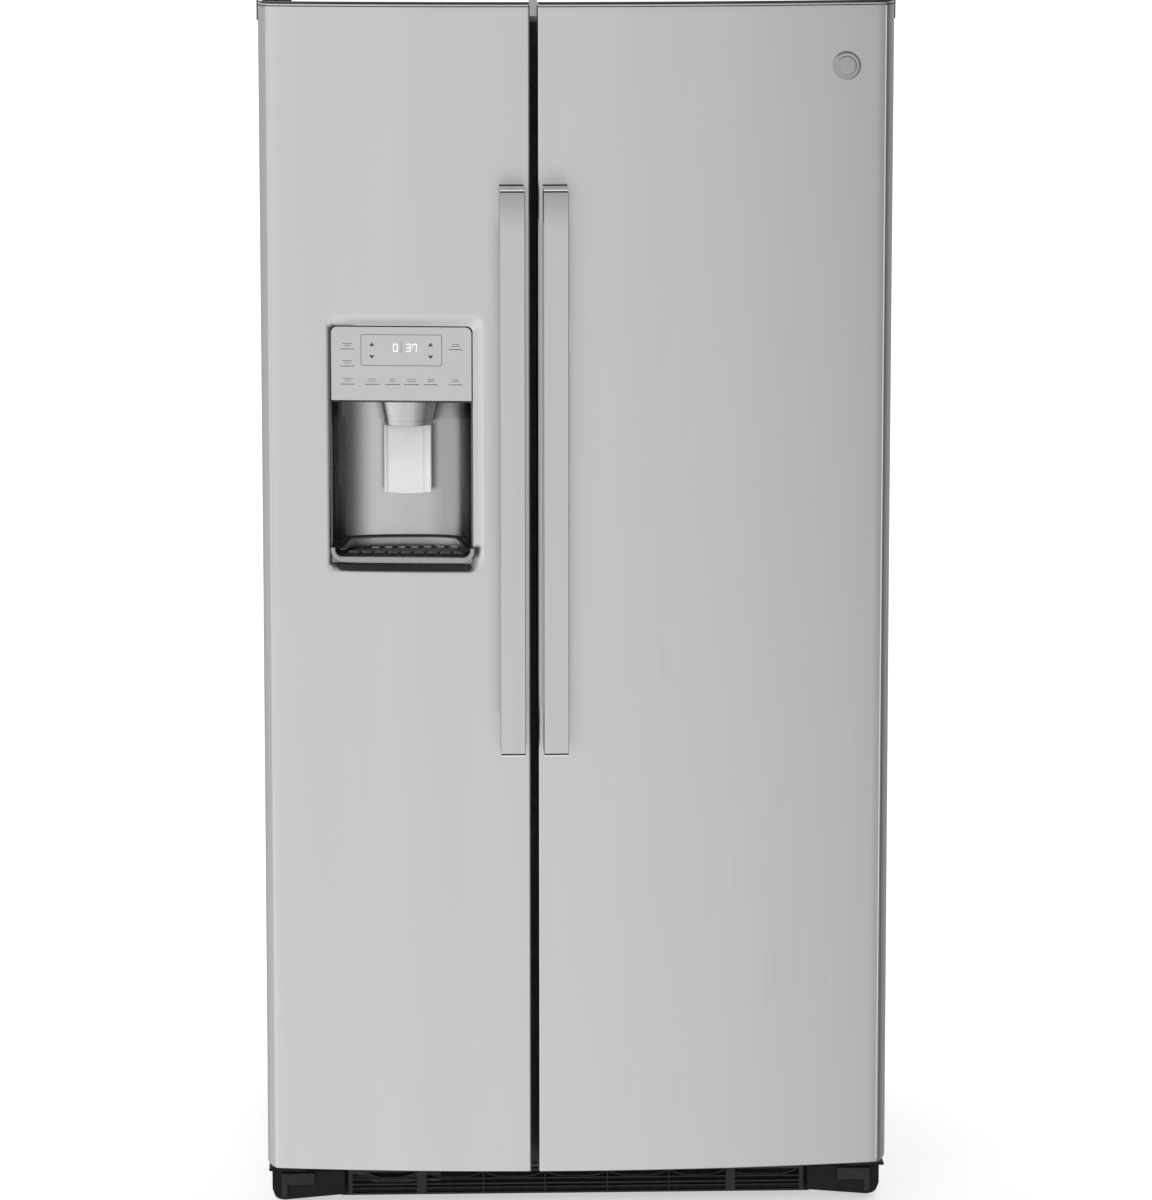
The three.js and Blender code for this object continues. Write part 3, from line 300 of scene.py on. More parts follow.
def finish(name, colour, metallic=0.0, roughness=0.5, mottle=(30, 0.03), rough=(60, 0.05), bump=(900, 0.05),
           stretch=(1, 1, 1), coat=0.0, coat_roughness=0.15, transmission=0.0, ior=1.46, subsurface=0.0,
           glow=0.0, painted_shading=None):
    """A procedural finish: mottle and rough are a noise size and its spread, bump a noise size and strength.

    Painted shade and light: the last argument holds an axis and the places along it, in metres, where the
    colour is scaled by a factor.
    """
    material = bpy.data.materials.new(name)
    material.use_nodes = True
    tree = material.node_tree
    shader = tree.nodes["Principled BSDF"]
    place = add_node(tree, "TexCoord").outputs["Object"]
    scaled = add_node(tree, "Mapping", {"Vector": place, "Scale": stretch}).outputs["Vector"]

    def noise(size):
        return add_node(tree, "TexNoise", {"Vector": scaled, "Scale": size, "Detail": 3.0}).outputs["Fac"]

    ramp = add_node(tree, "ValToRGB", {"Fac": noise(mottle[0])})
    for end, place_on_ramp, sign in ((0, 0.3, -1), (1, 0.7, 1)):
        ramp.color_ramp.elements[end].position = place_on_ramp
        ramp.color_ramp.elements[end].color = (*[c * (1 + sign * mottle[1]) for c in colour], 1)
    tone = ramp.outputs["Color"]
    if painted_shading:
        split = add_node(tree, "SeparateXYZ", {"Vector": place})
        tone = shaded(tree, tone, split.outputs[painted_shading[0]], painted_shading[1])
    spread = add_node(tree, "MapRange", {
        "Value": noise(rough[0]), "From Min": 0.3, "From Max": 0.7,
        "To Min": roughness - rough[1], "To Max": roughness + rough[1]})
    relief = add_node(tree, "Bump", {"Height": noise(bump[0]), "Strength": bump[1], "Distance": 0.0005})
    for key, value in {
            "Base Color": tone, "Roughness": spread.outputs["Result"], "Normal": relief.outputs["Normal"],
            "Metallic": metallic, "Coat Weight": coat, "Coat Roughness": coat_roughness,
            "Transmission Weight": transmission, "IOR": ior, "Subsurface Weight": subsurface,
            "Subsurface Scale": 0.01, "Emission Color": (1, 1, 1, 1), "Emission Strength": glow}.items():
        fill(tree, shader.inputs[key], value)
    return material


def gray(value):
    """Slightly cool gray of the metals and silvery plastics."""
    return value, value + 0.002, value + 0.005


BRUSHED = (1, 1, 0.01)  # the grain of the steel runs up the doors
# painted shade: the alcove's colour is darker towards its sides, where they lie in shade, and a little lighter
# inside its left side, as (x, factor)
ALCOVE_PAINTED_SHADING = [(-0.35, 0.5), (-0.339, 0.3), (-0.328, 0.62), (-0.316, 0.9), (-0.305, 1.2),
                 (-0.275, 1.1), (-0.215, 1.0), (-0.19, 0.68), (-0.15, 0.6)]
EVEN, GRAIN = (60, 0.01), (300, 0.02)  # mottle and roughness of plain metal
SATIN = ((80, 0.01), (300, 0.001))  # roughness and bump of silvery plastic
MOULDED, FINE = (120, 0.15), (90, 0.08)  # mottle and roughness of black plastic
LOOKS = {
    "stainless": finish("Stainless_brushed", gray(0.57), 1.0, 0.34, (9, 0.022), (900, 0.03), (2400, 0.03),
                        BRUSHED),
    # the handles' end plates, real parts, in a lighter copy of the steel that paints their highlight
    "plate_steel_painted_highlight": finish("Stainless_plate_painted_highlight", gray(0.76), 1.0, 0.22, EVEN, GRAIN, (2400, 0.01)),
    # painted highlight: a lighter copy of the steel for the bead along each door's crease
    "steel_painted_crease_highlight": finish("Stainless_crease_painted_highlight", gray(0.63), 1.0, 0.3, EVEN, GRAIN, (2400, 0.01)),
    # painted shade: the handle bars' steel darkens towards their top ends
    "handle_steel_painted_shade": finish("Stainless_handle_painted_shade", gray(0.55), 1.0, 0.34, (60, 0.015), (900, 0.03), (2400, 0.02),
                           BRUSHED, painted_shading=("Z", [(1.455, 1), (1.51, 0.66)])),
    "satin_silver": finish("Silver_satin_plastic", gray(0.54), 1.0, 0.3, (60, 0.008), *SATIN),
    "tray_silver": finish("Silver_satin_tray", gray(0.34), 1.0, 0.28, EVEN, *SATIN),
    # silvery alcove with painted shade towards its sides
    "alcove_silver_painted_shading": finish("Silver_satin_alcove_painted_shading", gray(0.46), 1.0, 0.27, EVEN, *SATIN,
                            painted_shading=("X", ALCOVE_PAINTED_SHADING)),
    # painted light: a faint glow lifts the press pad and the lamp covers, and painted shade darkens the pad
    # towards its top under the spout
    "frosted_plastic": finish("Frosted_plastic_painted_light", gray(0.9), 0, 0.34, coat=0.3, subsurface=0.08, glow=0.1,
                              painted_shading=("Z", [(1.08, 1), (1.16, 0.72)])),
    "display_white": finish("Lit_display_white", (0.9, 0.9, 0.9), 0, 0.4, glow=0.35),
    "louvre_gray": finish("Gray_moulded_plastic", gray(0.13), 0, 0.45, (120, 0.06), (90, 0.06), (1100, 0.1)),
    "badge_chrome": finish("Badge_metal", (0.36, 0.36, 0.365), 1.0, 0.22, (300, 0.03), (300, 0.04),
                           (900, 0.01)),
    "case_paint": finish("Case_textured_paint", (0.23, 0.234, 0.24), 0.1, 0.52, (25, 0.03), (200, 0.06),
                         (700, 0.35)),
    "black_paint": finish("Black_enamel", (0.011, 0.011, 0.012), 0, 0.38, (80, 0.2), (60, 0.08), (400, 0.1)),
    "bracket_black": finish("Black_bracket_enamel", (0.01, 0.01, 0.011), 0, 0.45, (80, 0.2), (60, 0.08),
                            (400, 0.1), ior=1.25),
    "black_plastic": finish("Black_moulded_plastic", (0.014, 0.014, 0.015), 0, 0.5, MOULDED, FINE,
                            (1200, 0.15)),
    "base_black": finish("Black_base_plastic", (0.01, 0.01, 0.011), 0, 0.5, MOULDED, FINE, (1200, 0.1),
                         ior=1.25),
    "base_gray": finish("Gray_base_plastic", (0.03, 0.03, 0.031), 0, 0.5, MOULDED, FINE, (1200, 0.1),
                        ior=1.3),
    "gloss_black": finish("Black_gloss_plastic", (0.012, 0.012, 0.013), 0, 0.12, (120, 0.1), (90, 0.02),
                          (1200, 0.02), coat=1.0, coat_roughness=0.05),
    "dark_plastic": finish("Dark_gray_plastic", (0.055, 0.057, 0.06), 0, 0.48, (120, 0.08), (90, 0.06),
                           (1100, 0.18)),
    # painted light: the white liner glows faintly
    "white_liner": finish("White_liner_painted_glow", (0.82, 0.83, 0.835), 0, 0.32, (8, 0.015), (20, 0.05), (250, 0.02),
                          coat=0.15, glow=0.08),
    "white_plastic": finish("White_moulded_plastic", (0.78, 0.79, 0.79), 0, 0.42, (40, 0.02), (60, 0.06),
                            (900, 0.08)),
    "clear_plastic": finish("Clear_plastic", (0.97, 0.98, 0.985), 0, 0.06, (12, 0.01), (40, 0.03), (60, 0.01),
                            transmission=0.95, ior=1.3),
    "shelf_glass": finish("Shelf_glass", (0.90, 0.965, 0.945), 0, 0.03, (10, 0.01), (30, 0.015), (30, 0.01),
                          transmission=0.97, ior=1.45),
    "zinc_steel": finish("Zinc_plated_steel", (0.42, 0.43, 0.44), 0.9, 0.42, (60, 0.05), (70, 0.06),
                         (200, 0.05)),
    "aluminium": finish("Bare_aluminium", (0.66, 0.67, 0.68), 1.0, 0.4, (120, 0.08), FINE),
    "gasket_rubber": finish("Gasket_vinyl", (0.42, 0.43, 0.44), 0, 0.6, (60, 0.04), (80, 0.06), (700, 0.1)),
    "foam": finish("Insulation_foam", (0.80, 0.70, 0.44), 0, 0.9, (90, 0.1), (60, 0.04), (250, 0.6)),
}


def paint(look, *nodes):
    """CAD nodes whose shape is right take a finish."""
    for node in nodes:
        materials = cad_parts[node].data.materials
        materials.clear()
        materials.append(LOOKS[look])


# ---- doors ----


EDGE_BAND, EDGE_DEPTH = 13.4, 29.8  # rounded outer edge of a door
EDGE_TURN = math.radians(64)  # how far round it meets the face in a crease


def door_plan(door, inset=0.0, back=SKIN_BACK, across=None):
    """Plan of a door from its outer back edge round the front to its inner back edge."""
    side, outer, inner = DOORS[door]

    def corner(edge, toward, rx, ry, turns):
        rx, ry = max(rx - inset, 1), max(ry - inset, 1)
        cx = edge + toward * rx
        last = max(turns)
        cy = face_y(edge + toward * rx * (1 - math.cos(last))) + inset + ry * math.sin(last)
        return [(cx - toward * rx * math.cos(a), cy - ry * math.sin(a)) for a in turns]

    width = EDGE_BAND / (1 - math.cos(EDGE_TURN))
    start = corner(outer - side * inset, -side, width, EDGE_DEPTH, steps(0, EDGE_TURN, 8))
    end = corner(inner + side * inset, side, 3, 3, steps(math.pi / 2, 0, 4))
    if across is None:
        across = steps(start[-1][0], end[0][0], 40)[1:-1]
    face = [(x, face_y(x) + inset) for x in across]
    return [(outer - side * inset, back), *start, *face, *end, (inner + side * inset, back)]


HOLE_X, HOLE_Z = (-374, -121), (941, 1338)  # flat patch of the door that the recess is joined to
ACROSS, UP, TURN = 30, 40, 5  # points along a side, up a side and round half a corner of the recess
RECESS_CORNER = 11
# outer and inner radius of each corner, from the lower left one round to the right
RECESS_RADII = [(6, 5), (20, 8), (13, 8), (9, 8)]
# how far down the recess's slope is, as (along it, even slope, late steep slope of its left side)
SLOPE = [(-0.35, 0, 0), (-0.1, 0.005, 0), (0.1, 0.08, 0.02), (0.5, 0.49, 0.1), (0.8, 0.83, 0.22),
         (0.9, 0.93, 0.5), (0.97, 0.985, 0.93), (1.0, 1.06, 1.06), (1.0, 1.9, 1.9)]
BLEND = 32  # width over which the left side's slope turns into the even one


def window(x, z, radii):
    """Rounded rectangle counted from the middle of its lower left corner."""
    a, b, c, d = radii
    centres = [(x[0] + a, z[0] + a), (x[1] - b, z[0] + b), (x[1] - c, z[1] - c), (x[0] + d, z[1] - d)]
    points = []
    for side, count in enumerate([ACROSS, UP, ACROSS, UP]):
        a, b = centres[side], centres[(side + 1) % 4]
        for i in range(count):
            along = clamp((i - TURN) / (count - 2 * TURN))
            turn = min(i / TURN, 1) + max((i - count + TURN) / TURN, 0)
            centre = mix(a[0], b[0], along), mix(a[1], b[1], along)
            radius = mix(radii[side], radii[(side + 1) % 4], along)
            points.append(polar(centre, radius, math.radians(225 + 90 * side + 45 * turn)))
    return points


def spread(span, inner, count):
    """Grid lines over a patch, closer together beside its corners."""
    return [*steps(span[0], inner[0], TURN)[:-1], *steps(inner[0], inner[1], count - 2 * TURN),
            *steps(inner[1], span[1], TURN)[1:]]


def slope_depth(even, late, x):
    """The left side of the recess falls late, and blends into the even slope along its top and bottom."""
    return mix(even, late, clamp((NICHE_X[0] + BLEND - x) / BLEND))


def recess_loops():
    """Loops from the door's face down the sloped sides to the dispenser's opening."""
    loops = []
    for along, even, late in SLOPE:
        x = [mix(a, b, along) for a, b in zip(RECESS_X, NICHE_X)]
        z = [mix(a, b, along) for a, b in zip(RECESS_Z, NICHE_Z)]
        radii = [mix(outer, inner, along) for outer, inner in RECESS_RADII]
        loop = []
        for px, pz in window(x, z, radii):
            sunk = floor_y(px) - face_y(px)
            depth = slope_depth(even, late, px)
            loop.append((px, face_y(px) + sunk * min(depth, 1) + RECESS_DEPTH * max(depth - 1, 0), pz))
        loops.append(loop)
    return loops


PAINTED_SHADE_X, PAINTED_SHADE_POINT, PAINTED_SHADE_ROUND = (-350, -147), 12, 16  # ends of the painted shade strip on the recess, and how long their point and curve are


def recess_painted_shade():
    """Painted shade: a dark strip on the lower slope of the recess, where it lies in shade, pointed at its
    left end and rounded at its right.
    """
    loops = []
    levels = SLOPE[2:7]
    for x in steps(*PAINTED_SHADE_X, 44):
        point = 0.9 - (x - PAINTED_SHADE_X[0]) / PAINTED_SHADE_POINT
        curve = 0.1 + 0.8 * max(1 + (x - PAINTED_SHADE_X[1]) / PAINTED_SHADE_ROUND, 0) ** 2
        top, under = [], []
        for along, _, _ in levels:
            along = max(along, point, curve)
            below = [level for level in levels if level[0] <= along][-1]
            above = [level for level in levels if level[0] >= along][0]
            part = (along - below[0]) / max(above[0] - below[0], 1e-6)
            depth = slope_depth(mix(below[1], above[1], part), mix(below[2], above[2], part), x)
            y, z = mix(face_y(x), floor_y(x), depth), mix(RECESS_Z[0], NICHE_Z[0], along)
            top.append((x, y - 0.5, z + 0.35))
            under.append((x, y + 0.3, z - 0.2))
        loops.append(top + under[::-1])
    return Shape().loft(loops)


FOOT_ROUND = 2.5  # radius of the steel's bottom edge
FOOT_CUT, FOOT_CUT_X, FOOT_CUT_Z = 6, 436, 34  # how far its outer corner turns up, and the corner's extent
FLARE, FLARE_X, FLARE_WIDTH, FLARE_Z = 1.4, 430, 10, 1000  # how its outer edge spreads towards the foot
# rolled top edge of the steel, as (below the top, set in from the face)
HEM = [(5.2, 0), (4.8, 0.5), (4.0, 0.6), (3.5, 0.1), (2.6, 0), (1.5, 0.15), (0.7, 0.7), (0.2, 1.5), (0, 2.6)]


def foot_shape(side, x, y, z):
    """A point of the steel with the door's foot cut up and spread at its outer corner."""
    cut = max(side * x - FOOT_CUT_X, 0) / (DOOR_HALF - FOOT_CUT_X)
    lift = FOOT_CUT * cut**2 * max(1 - (z - DOOR_BOTTOM) / FOOT_CUT_Z, 0)
    flare = FLARE * clamp((side * x - FLARE_X) / FLARE_WIDTH) * max(1 - z / FLARE_Z, 0)
    return x + side * flare, y, z + lift


def sink_recess(points, faces, rim):
    """Joins the recess's slopes to the points round a hole."""
    for loop in recess_loops():
        inner = list(range(len(points), len(points) + len(loop)))
        points += loop
        for i in range(len(loop)):
            j = (i + 1) % len(loop)
            faces.append([rim[i], rim[j], inner[j], inner[i]])
        rim = inner


def door_skin(door, hole):
    """Steel front of a door, bowed, with rounded side and bottom edges and a rolled top edge."""
    side = DOORS[door][0]
    across, heights = None, steps(100, 1700, 16)
    if hole:
        hole_x = spread(HOLE_X, shrunk(RECESS_X, RECESS_CORNER), ACROSS)
        hole_z = spread(HOLE_Z, shrunk(RECESS_Z, RECESS_CORNER), UP)
        across = [-425, -408, -391, *hole_x, -108, -95, -83]
        heights = [*steps(100, 900, 8), *hole_z, *steps(1370, 1700, 4)]
    rows = [(DOOR_BOTTOM + FOOT_ROUND * (1 - math.cos(a)), FOOT_ROUND * (1 - math.sin(a)))
            for a in steps(0, math.pi / 2, 3)]
    rows += [(z, 0) for z in [*heights, 1755]]
    rows += [(SKIN_TOP - drop, inset) for drop, inset in HEM]
    points = [foot_shape(side, x, y, z)
              for z, inset in rows for x, y in door_plan(door, inset, across=across)]
    columns = len(points) // len(rows)
    r0 = r1 = c0 = c1 = 0
    if hole:
        start = HOLE_X[0], face_y(HOLE_X[0])
        c0 = min(range(columns), key=lambda c: math.dist(points[-columns + c][:2], start))
        r0 = next(i for i, (z, _) in enumerate(rows) if abs(z - HOLE_Z[0]) < 0.01)
        c1, r1 = c0 + ACROSS, r0 + UP
    faces = []
    for r in range(len(rows) - 1):
        for c in range(columns - 1):
            if not (r0 <= r < r1 and c0 <= c < c1):
                a = r * columns + c
                faces.append([a, a + 1, a + 1 + columns, a + columns])
    faces.append(list(range(columns))[::-1])
    if hole:
        rim = ([(r0, c) for c in range(c0, c1)] + [(r, c1) for r in range(r0, r1)]
               + [(r1, c) for c in range(c1, c0, -1)] + [(r, c0) for r in range(r1, r0, -1)])
        sink_recess(points, faces, [r * columns + c for r, c in rim])
    return Shape(points, [face[::-side] for face in faces])


def top_cap(door):
    """Plastic cap over a door's top edge, with a skirt down its outer side."""
    side, outer, _ = DOORS[door]
    levels = [(1769, 0), (1770.2, 0.1), (1770.8, 0.6), (DOOR_TOP, 1.6)]
    shape = Shape().loft([flat("z", door_plan(door, inset, DOOR_BACK), z) for z, inset in levels])
    edges = sorted((outer - side * 4, outer + side * 2))
    shape.box(edges, (-326.5, DOOR_BACK), (1742, DOOR_TOP), 1.2)
    return shape


def edge_painted_highlight(door):
    """Painted highlight: a fine bead of lighter steel along the crease of a door's outer edge."""
    side, outer, _ = DOORS[door]
    x = outer - side * EDGE_BAND
    y = face_y(x)
    wide = sorted((x - side * 1.1, x + side * 0.9))
    return Shape().box(wide, (y - 0.25, y + 1), shrunk((DOOR_BOTTOM, SKIN_TOP), 6), 0.3)


def hem_painted_shadow(door):
    """Painted shadow: a thin dark strip in the groove under a door's rolled top edge."""
    section = door_plan(door, -0.04)[1:-1] + door_plan(door, 0.9)[-2:0:-1]
    return Shape().prism(section, "z", (SKIN_TOP - 5.1, SKIN_TOP - 3.9))


HANDLE_Z = (697, 1512)
HANDLE_FRONT, HANDLE_BAR, HANDLE_BACK = -440.5, -427.5, -381.5
HANDLE_PLATE, HANDLE_GROOVE, HANDLE_POST = 2.4, 1.6, 52


def handle(x):
    """Flat bar on two square posts."""
    front, bar, back = HANDLE_FRONT, HANDLE_BAR, HANDLE_BACK
    low, high = shrunk(HANDLE_Z, HANDLE_PLATE + HANDLE_GROOVE)
    foot, head = shrunk(HANDLE_Z, HANDLE_POST)
    outline = [(back, low), (front, low), (front, high), (back, high),
               (back, head), (bar, head), (bar, foot), (back, foot)]
    return Shape().prism(outline, "x", x, 0.9, 3)


def handle_plates(x):
    shape = Shape()
    for z in ((HANDLE_Z[0], HANDLE_Z[0] + HANDLE_PLATE), (HANDLE_Z[1] - HANDLE_PLATE, HANDLE_Z[1])):
        shape.box(x, (HANDLE_FRONT, HANDLE_BACK), z, 0.5, 3)
    return shape


def handle_painted_shade(x):
    """Painted shade: dark cores in the grooves between the end plates and the bar, and dark seats that paint
    the contact shadow where the plates meet the door.
    """
    shape = Shape()
    for z in (HANDLE_Z[0] + HANDLE_PLATE, HANDLE_Z[1] - HANDLE_PLATE - HANDLE_GROOVE):
        core = shrunk((z, z + HANDLE_GROOVE), -0.2)
        shape.box(shrunk(x, 0.7), (HANDLE_FRONT + 0.7, HANDLE_BACK), core, 0.1)
    seat = face_y(sum(x) / 2)
    for z in ((HANDLE_Z[0] - 1.2, HANDLE_Z[0] + 1), (HANDLE_Z[1] - 1, HANDLE_Z[1] + 1.2)):
        shape.box(x, (seat - 1.6, seat + 1.5), z, 0.3)
    return shape


# raised ring behind each door, and the bins between its sides
RING_OUT = {"freezer": (-384, -114), "fresh_food": (-14, 395)}
RING_IN = {"freezer": (-360, -135), "fresh_food": (9, 371)}
BIN_X = {"freezer": (-359.5, -135.5), "fresh_food": (9.5, 370.5)}
RING_FRONT, RING_Z, RING_HEIGHT = -245, (140, 1668), 24


def inner_door(door):
    """White inner door: a pan with a raised ring and shallow ledges behind the bins."""
    side, outer, inner = DOORS[door]
    x = sorted((outer - side * 2, inner + side * 2))
    shape = Shape().box(x, (-299.5, DOOR_BACK), (67, SKIN_TOP), 1)
    base = DOOR_BACK - 1
    sides = [
        (RING_OUT[door], RING_Z, 26,
         [(0, base), (0, RING_FRONT - 6), (-1.8, RING_FRONT - 1.8), (-6, RING_FRONT)]),
        (RING_IN[door], shrunk(RING_Z, RING_HEIGHT), 12,
         [(4, RING_FRONT), (1.2, RING_FRONT - 1.8), (0, RING_FRONT - 5), (0, base)])]
    loops = [flat("y", rounded(shrunk(u, -grow), shrunk(v, -grow), radius + grow, 8), y)
             for u, v, radius, section in sides for grow, y in section]
    return shape.loft(loops, endless=True)


def dispenser_bump():
    """Swelling of the freezer's inner door round the ice passage."""
    middle = -249
    levels = [(948, 92, DOOR_BACK + 22), (962, 100, DOOR_BACK + 34), (1010, 103, RING_FRONT + 2),
              (1170, 103, RING_FRONT + 4), (1262, 84, -188), (1300, 78, -184), (1316, 76, -185),
              (1323, 70, -191)]
    return Shape().loft([
        flat("z", rounded((middle - half, middle + half), (DOOR_BACK - 1, front), 9), z)
        for z, half, front in levels])


def gasket(hinge_x, latch_x):
    """Magnetic door seal: a ribbed ring, its profile as (set in, place from front to back)."""
    x, z = sorted((hinge_x, latch_x)), SEAL_Z
    profile = [(0, -296.2), (0, -294), (1.5, -293), (0.3, -291.5), (1.5, -290), (0.5, -288.4), (1.8, -287),
               (10, -287), (12, -289), (14.5, -291.5), (16, -291.8), (17, -294), (17, -296.2)]
    loops = [flat("y", rounded(shrunk(x, i), shrunk(z, i), 20 - i, 6), y) for i, y in profile]
    return Shape().loft(loops, endless=True)


def open_bin(x, y, z, wall, radius, lean):
    """Open-topped bin with rounded corners, a rolled rim and walls that lean in towards the floor."""
    (z0, z1), rim = z, 2.0
    levels = [(rim + lean + 4, z0, radius - 3), (rim + lean + 1, z0 + 1.2, radius),
              (rim + lean, z0 + 5, radius),
              (rim, z1 - 9, radius + 2), (rim, z1 - 6, radius + 2), (0.4, z1 - 5, radius + 3),
              (0, z1 - 1, radius + 3), (0.8, z1, radius + 3), (rim + wall - 0.6, z1, radius),
              (rim + wall, z1 - 1, radius), (rim + wall + lean, z0 + wall + 4, radius - wall + 1),
              (rim + wall + lean + 4, z0 + wall, radius - wall)]
    return Shape().loft([flat("z", rounded(shrunk(x, inset), shrunk(y, inset), r, 6), height)
                         for inset, height, r in levels])


DOOR_BINS = {
    "freezer_bin_upper": (1545, 1635), "freezer_bin_middle": (640, 740), "freezer_bin_lower": (280, 380),
    "fresh_food_bin_upper": (1380, 1490), "fresh_food_bin_middle": (900, 1020),
    "fresh_food_bin_lower": (330, 470),
}
BIN_Y = (-295.8, -196)
SEAL_X, SEAL_Z = {"freezer": (-428, -74), "fresh_food": (428, -52)}, (96, 1718)
HANDLE_X = {"freezer": (-112.4, -77.2), "fresh_food": (-50.5, -15.4)}

for door in DOORS:
    body = f"{door}_door"
    piece(f"{door}_steel_front", door_skin(door, door == "freezer"), "stainless", body,
          f"{door}_door_skin", thick=1.2)
    piece(f"{door}_edge_painted_highlight", edge_painted_highlight(door), "steel_painted_crease_highlight", body)
    piece(f"{door}_hem_painted_shadow", hem_painted_shadow(door), "black_plastic", body)
    piece(f"{door}_end_cap", top_cap(door), "gloss_black", body, f"{door}_door_top_cap")
    inner_shape = inner_door(door)
    if door == "freezer":
        inner_shape.merge(dispenser_bump())
    piece(f"{door}_inner_door", inner_shape, "white_liner", body, f"{door}_door_liner")
    piece(f"{door}_seal", gasket(*SEAL_X[door]), "gasket_rubber", body, f"{door}_door_gasket")
    piece(f"{door}_handle_bar", handle(HANDLE_X[door]), "handle_steel_painted_shade", body, f"{door}_handle")
    piece(f"{door}_handle_plates", handle_plates(HANDLE_X[door]), "plate_steel_painted_highlight", body)
    piece(f"{door}_handle_painted_shade", handle_painted_shade(HANDLE_X[door]), "black_plastic", body)

for node, z in DOOR_BINS.items():
    door = node.partition("_bin")[0]
    x = BIN_X[door]
    piece(f"{node}_clear", open_bin(x, BIN_Y, z, 2.5, 12, 3), "clear_plastic", f"{door}_door", node)
    band = Shape().box(shrunk(x, 16), (BIN_Y[1] - 2.6, BIN_Y[1] - 0.1), (z[1] - 26, z[1] - 11), 1)
    piece(f"{node}_trim", band, "white_plastic", f"{door}_door")

# ---- badge: plain rings ----

BADGE = (382, 1678)


def badge():
    x, z = BADGE
    front = face_y(x) - 5
    profile = [(19, front + 8), (20, front + 6), (20, front + 1.2), (19.2, front + 0.4), (17.6, front + 0.2),
               (17.2, front + 1.4), (14.2, front + 1.5), (13.8, front + 0.7), (12.6, front + 0.7),
               (12.2, front + 1.6), (3, front + 1.1)]
    return Shape().revolve("y", (x, z), profile, 48)


piece("round_badge", badge(), "badge_chrome", "fresh_food_door", "badge")

# ---- dispenser ----

PANEL_X, PANEL_Z = (-352.6, -151.5), (1201.5, 1308)
# the panel's marks are laid out in steps of MARK from a first column and row at MARK_X, MARK_Z
MARK_X, MARK_Z, MARK, FIRST_COLUMN, FIRST_ROW = -352.6, 1309.2, 1.434, 331, 327


def from_floor(shape):
    """Turns a shape drawn with depths behind the recess floor as its y into the real place."""
    return shape.moved(lambda x, y, z: (x, floor_y(x) + y, z))


def panel_mark(px, py):
    """Place on the control panel of a column and row in the layout of its marks."""
    return MARK_X + (px - FIRST_COLUMN) * MARK, MARK_Z - (py - FIRST_ROW) * MARK


def flat_mark(shape, px, py):
    """A flat printed or glazed mark between two columns and two rows."""
    (x0, z1), (x1, z0) = panel_mark(px[0], py[0]), panel_mark(px[1], py[1])
    return shape.box((x0, x1), (0.28, 0.8), (z0, z1))


def digit(shape, left, top, lit):
    """Seven-segment figure."""
    width, height, stroke = 4.6, 8.1, 0.95
    right, bottom, middle = left + width, top + height, top + height / 2
    half = stroke / 2
    segments = {
        "a": ((left, right), (top, top + stroke)),
        "b": ((right - stroke, right), (top, middle)),
        "c": ((right - stroke, right), (middle, bottom)),
        "d": ((left, right), (bottom - stroke, bottom)),
        "e": ((left, left + stroke), (middle, bottom)),
        "f": ((left, left + stroke), (top, middle)),
        "g": ((left, right), (middle - half, middle + half)),
    }
    for key in lit:
        flat_mark(shape, *segments[key])
    return shape


def control_panel():
    return from_floor(Shape().prism(arch(PANEL_X, PANEL_Z, 9), "y", (0.5, 5.5), 0.7))


def panel_lines():
    """Key lines with plain bars for captions, the line between the figures and the arrows."""
    shape = Shape()
    rows = {350.3: [(340.6, 354.7), (448.5, 462.2)], 367.5: [(340.6, 354.7)],
            385.6: [(340.6, 354.7), (364.7, 379.6), (384.7, 399.9), (404, 418.9), (424, 437.6),
                    (448.3, 462.2)]}
    for row, spans in rows.items():
        for span in spans:
            flat_mark(shape, span, (row - 0.3, row + 0.35))
        for i, (left, right) in enumerate(spans):
            middle, wide, narrow = (left + right) / 2, 4.6 - i % 3, 3.2 + i % 2
            flat_mark(shape, (middle - wide, middle + wide), (row - 5.6, row - 5.1))
            flat_mark(shape, (middle - narrow, middle + narrow), (row - 3.4, row - 2.9))
    flat_mark(shape, (401.3, 401.7), (342.5, 354))
    for column in (372, 430.4):
        for tip, foot in ((343.6, 347.2), (360, 356.4)):
            (xa, za), (xb, zb) = panel_mark(column - 2.6, foot), panel_mark(column + 2.6, tip)
            outline = [(xa, za), (xb, za), ((xa + xb) / 2, zb)]
            shape.prism(outline, "y", (0.28, 0.8))
    return from_floor(shape)


def window_frame():
    (x0, z1), (x1, z0) = panel_mark(361, 335.5), panel_mark(441.6, 367)
    loops = []
    for inset, y in ((0, 0.8), (0, 0.3), (0.7, 0.3), (0.7, 0.8)):
        outline = rounded(shrunk((x0, x1), inset), shrunk((z0, z1), inset), 3 - inset, 4)
        loops.append(flat("y", outline, y))
    return from_floor(Shape().loft(loops, endless=True))


def figures():
    shape = Shape()
    for left, lit in ((393.2, "abcdef"), (406, "abcdg"), (412.2, "abcf")):
        digit(shape, left, 344.7, lit)
    return from_floor(shape)


ALCOVE_RIM, ALCOVE_ROUND = -366, 0.75  # front of the wall's curve, and its exponent: 1 is an ellipse


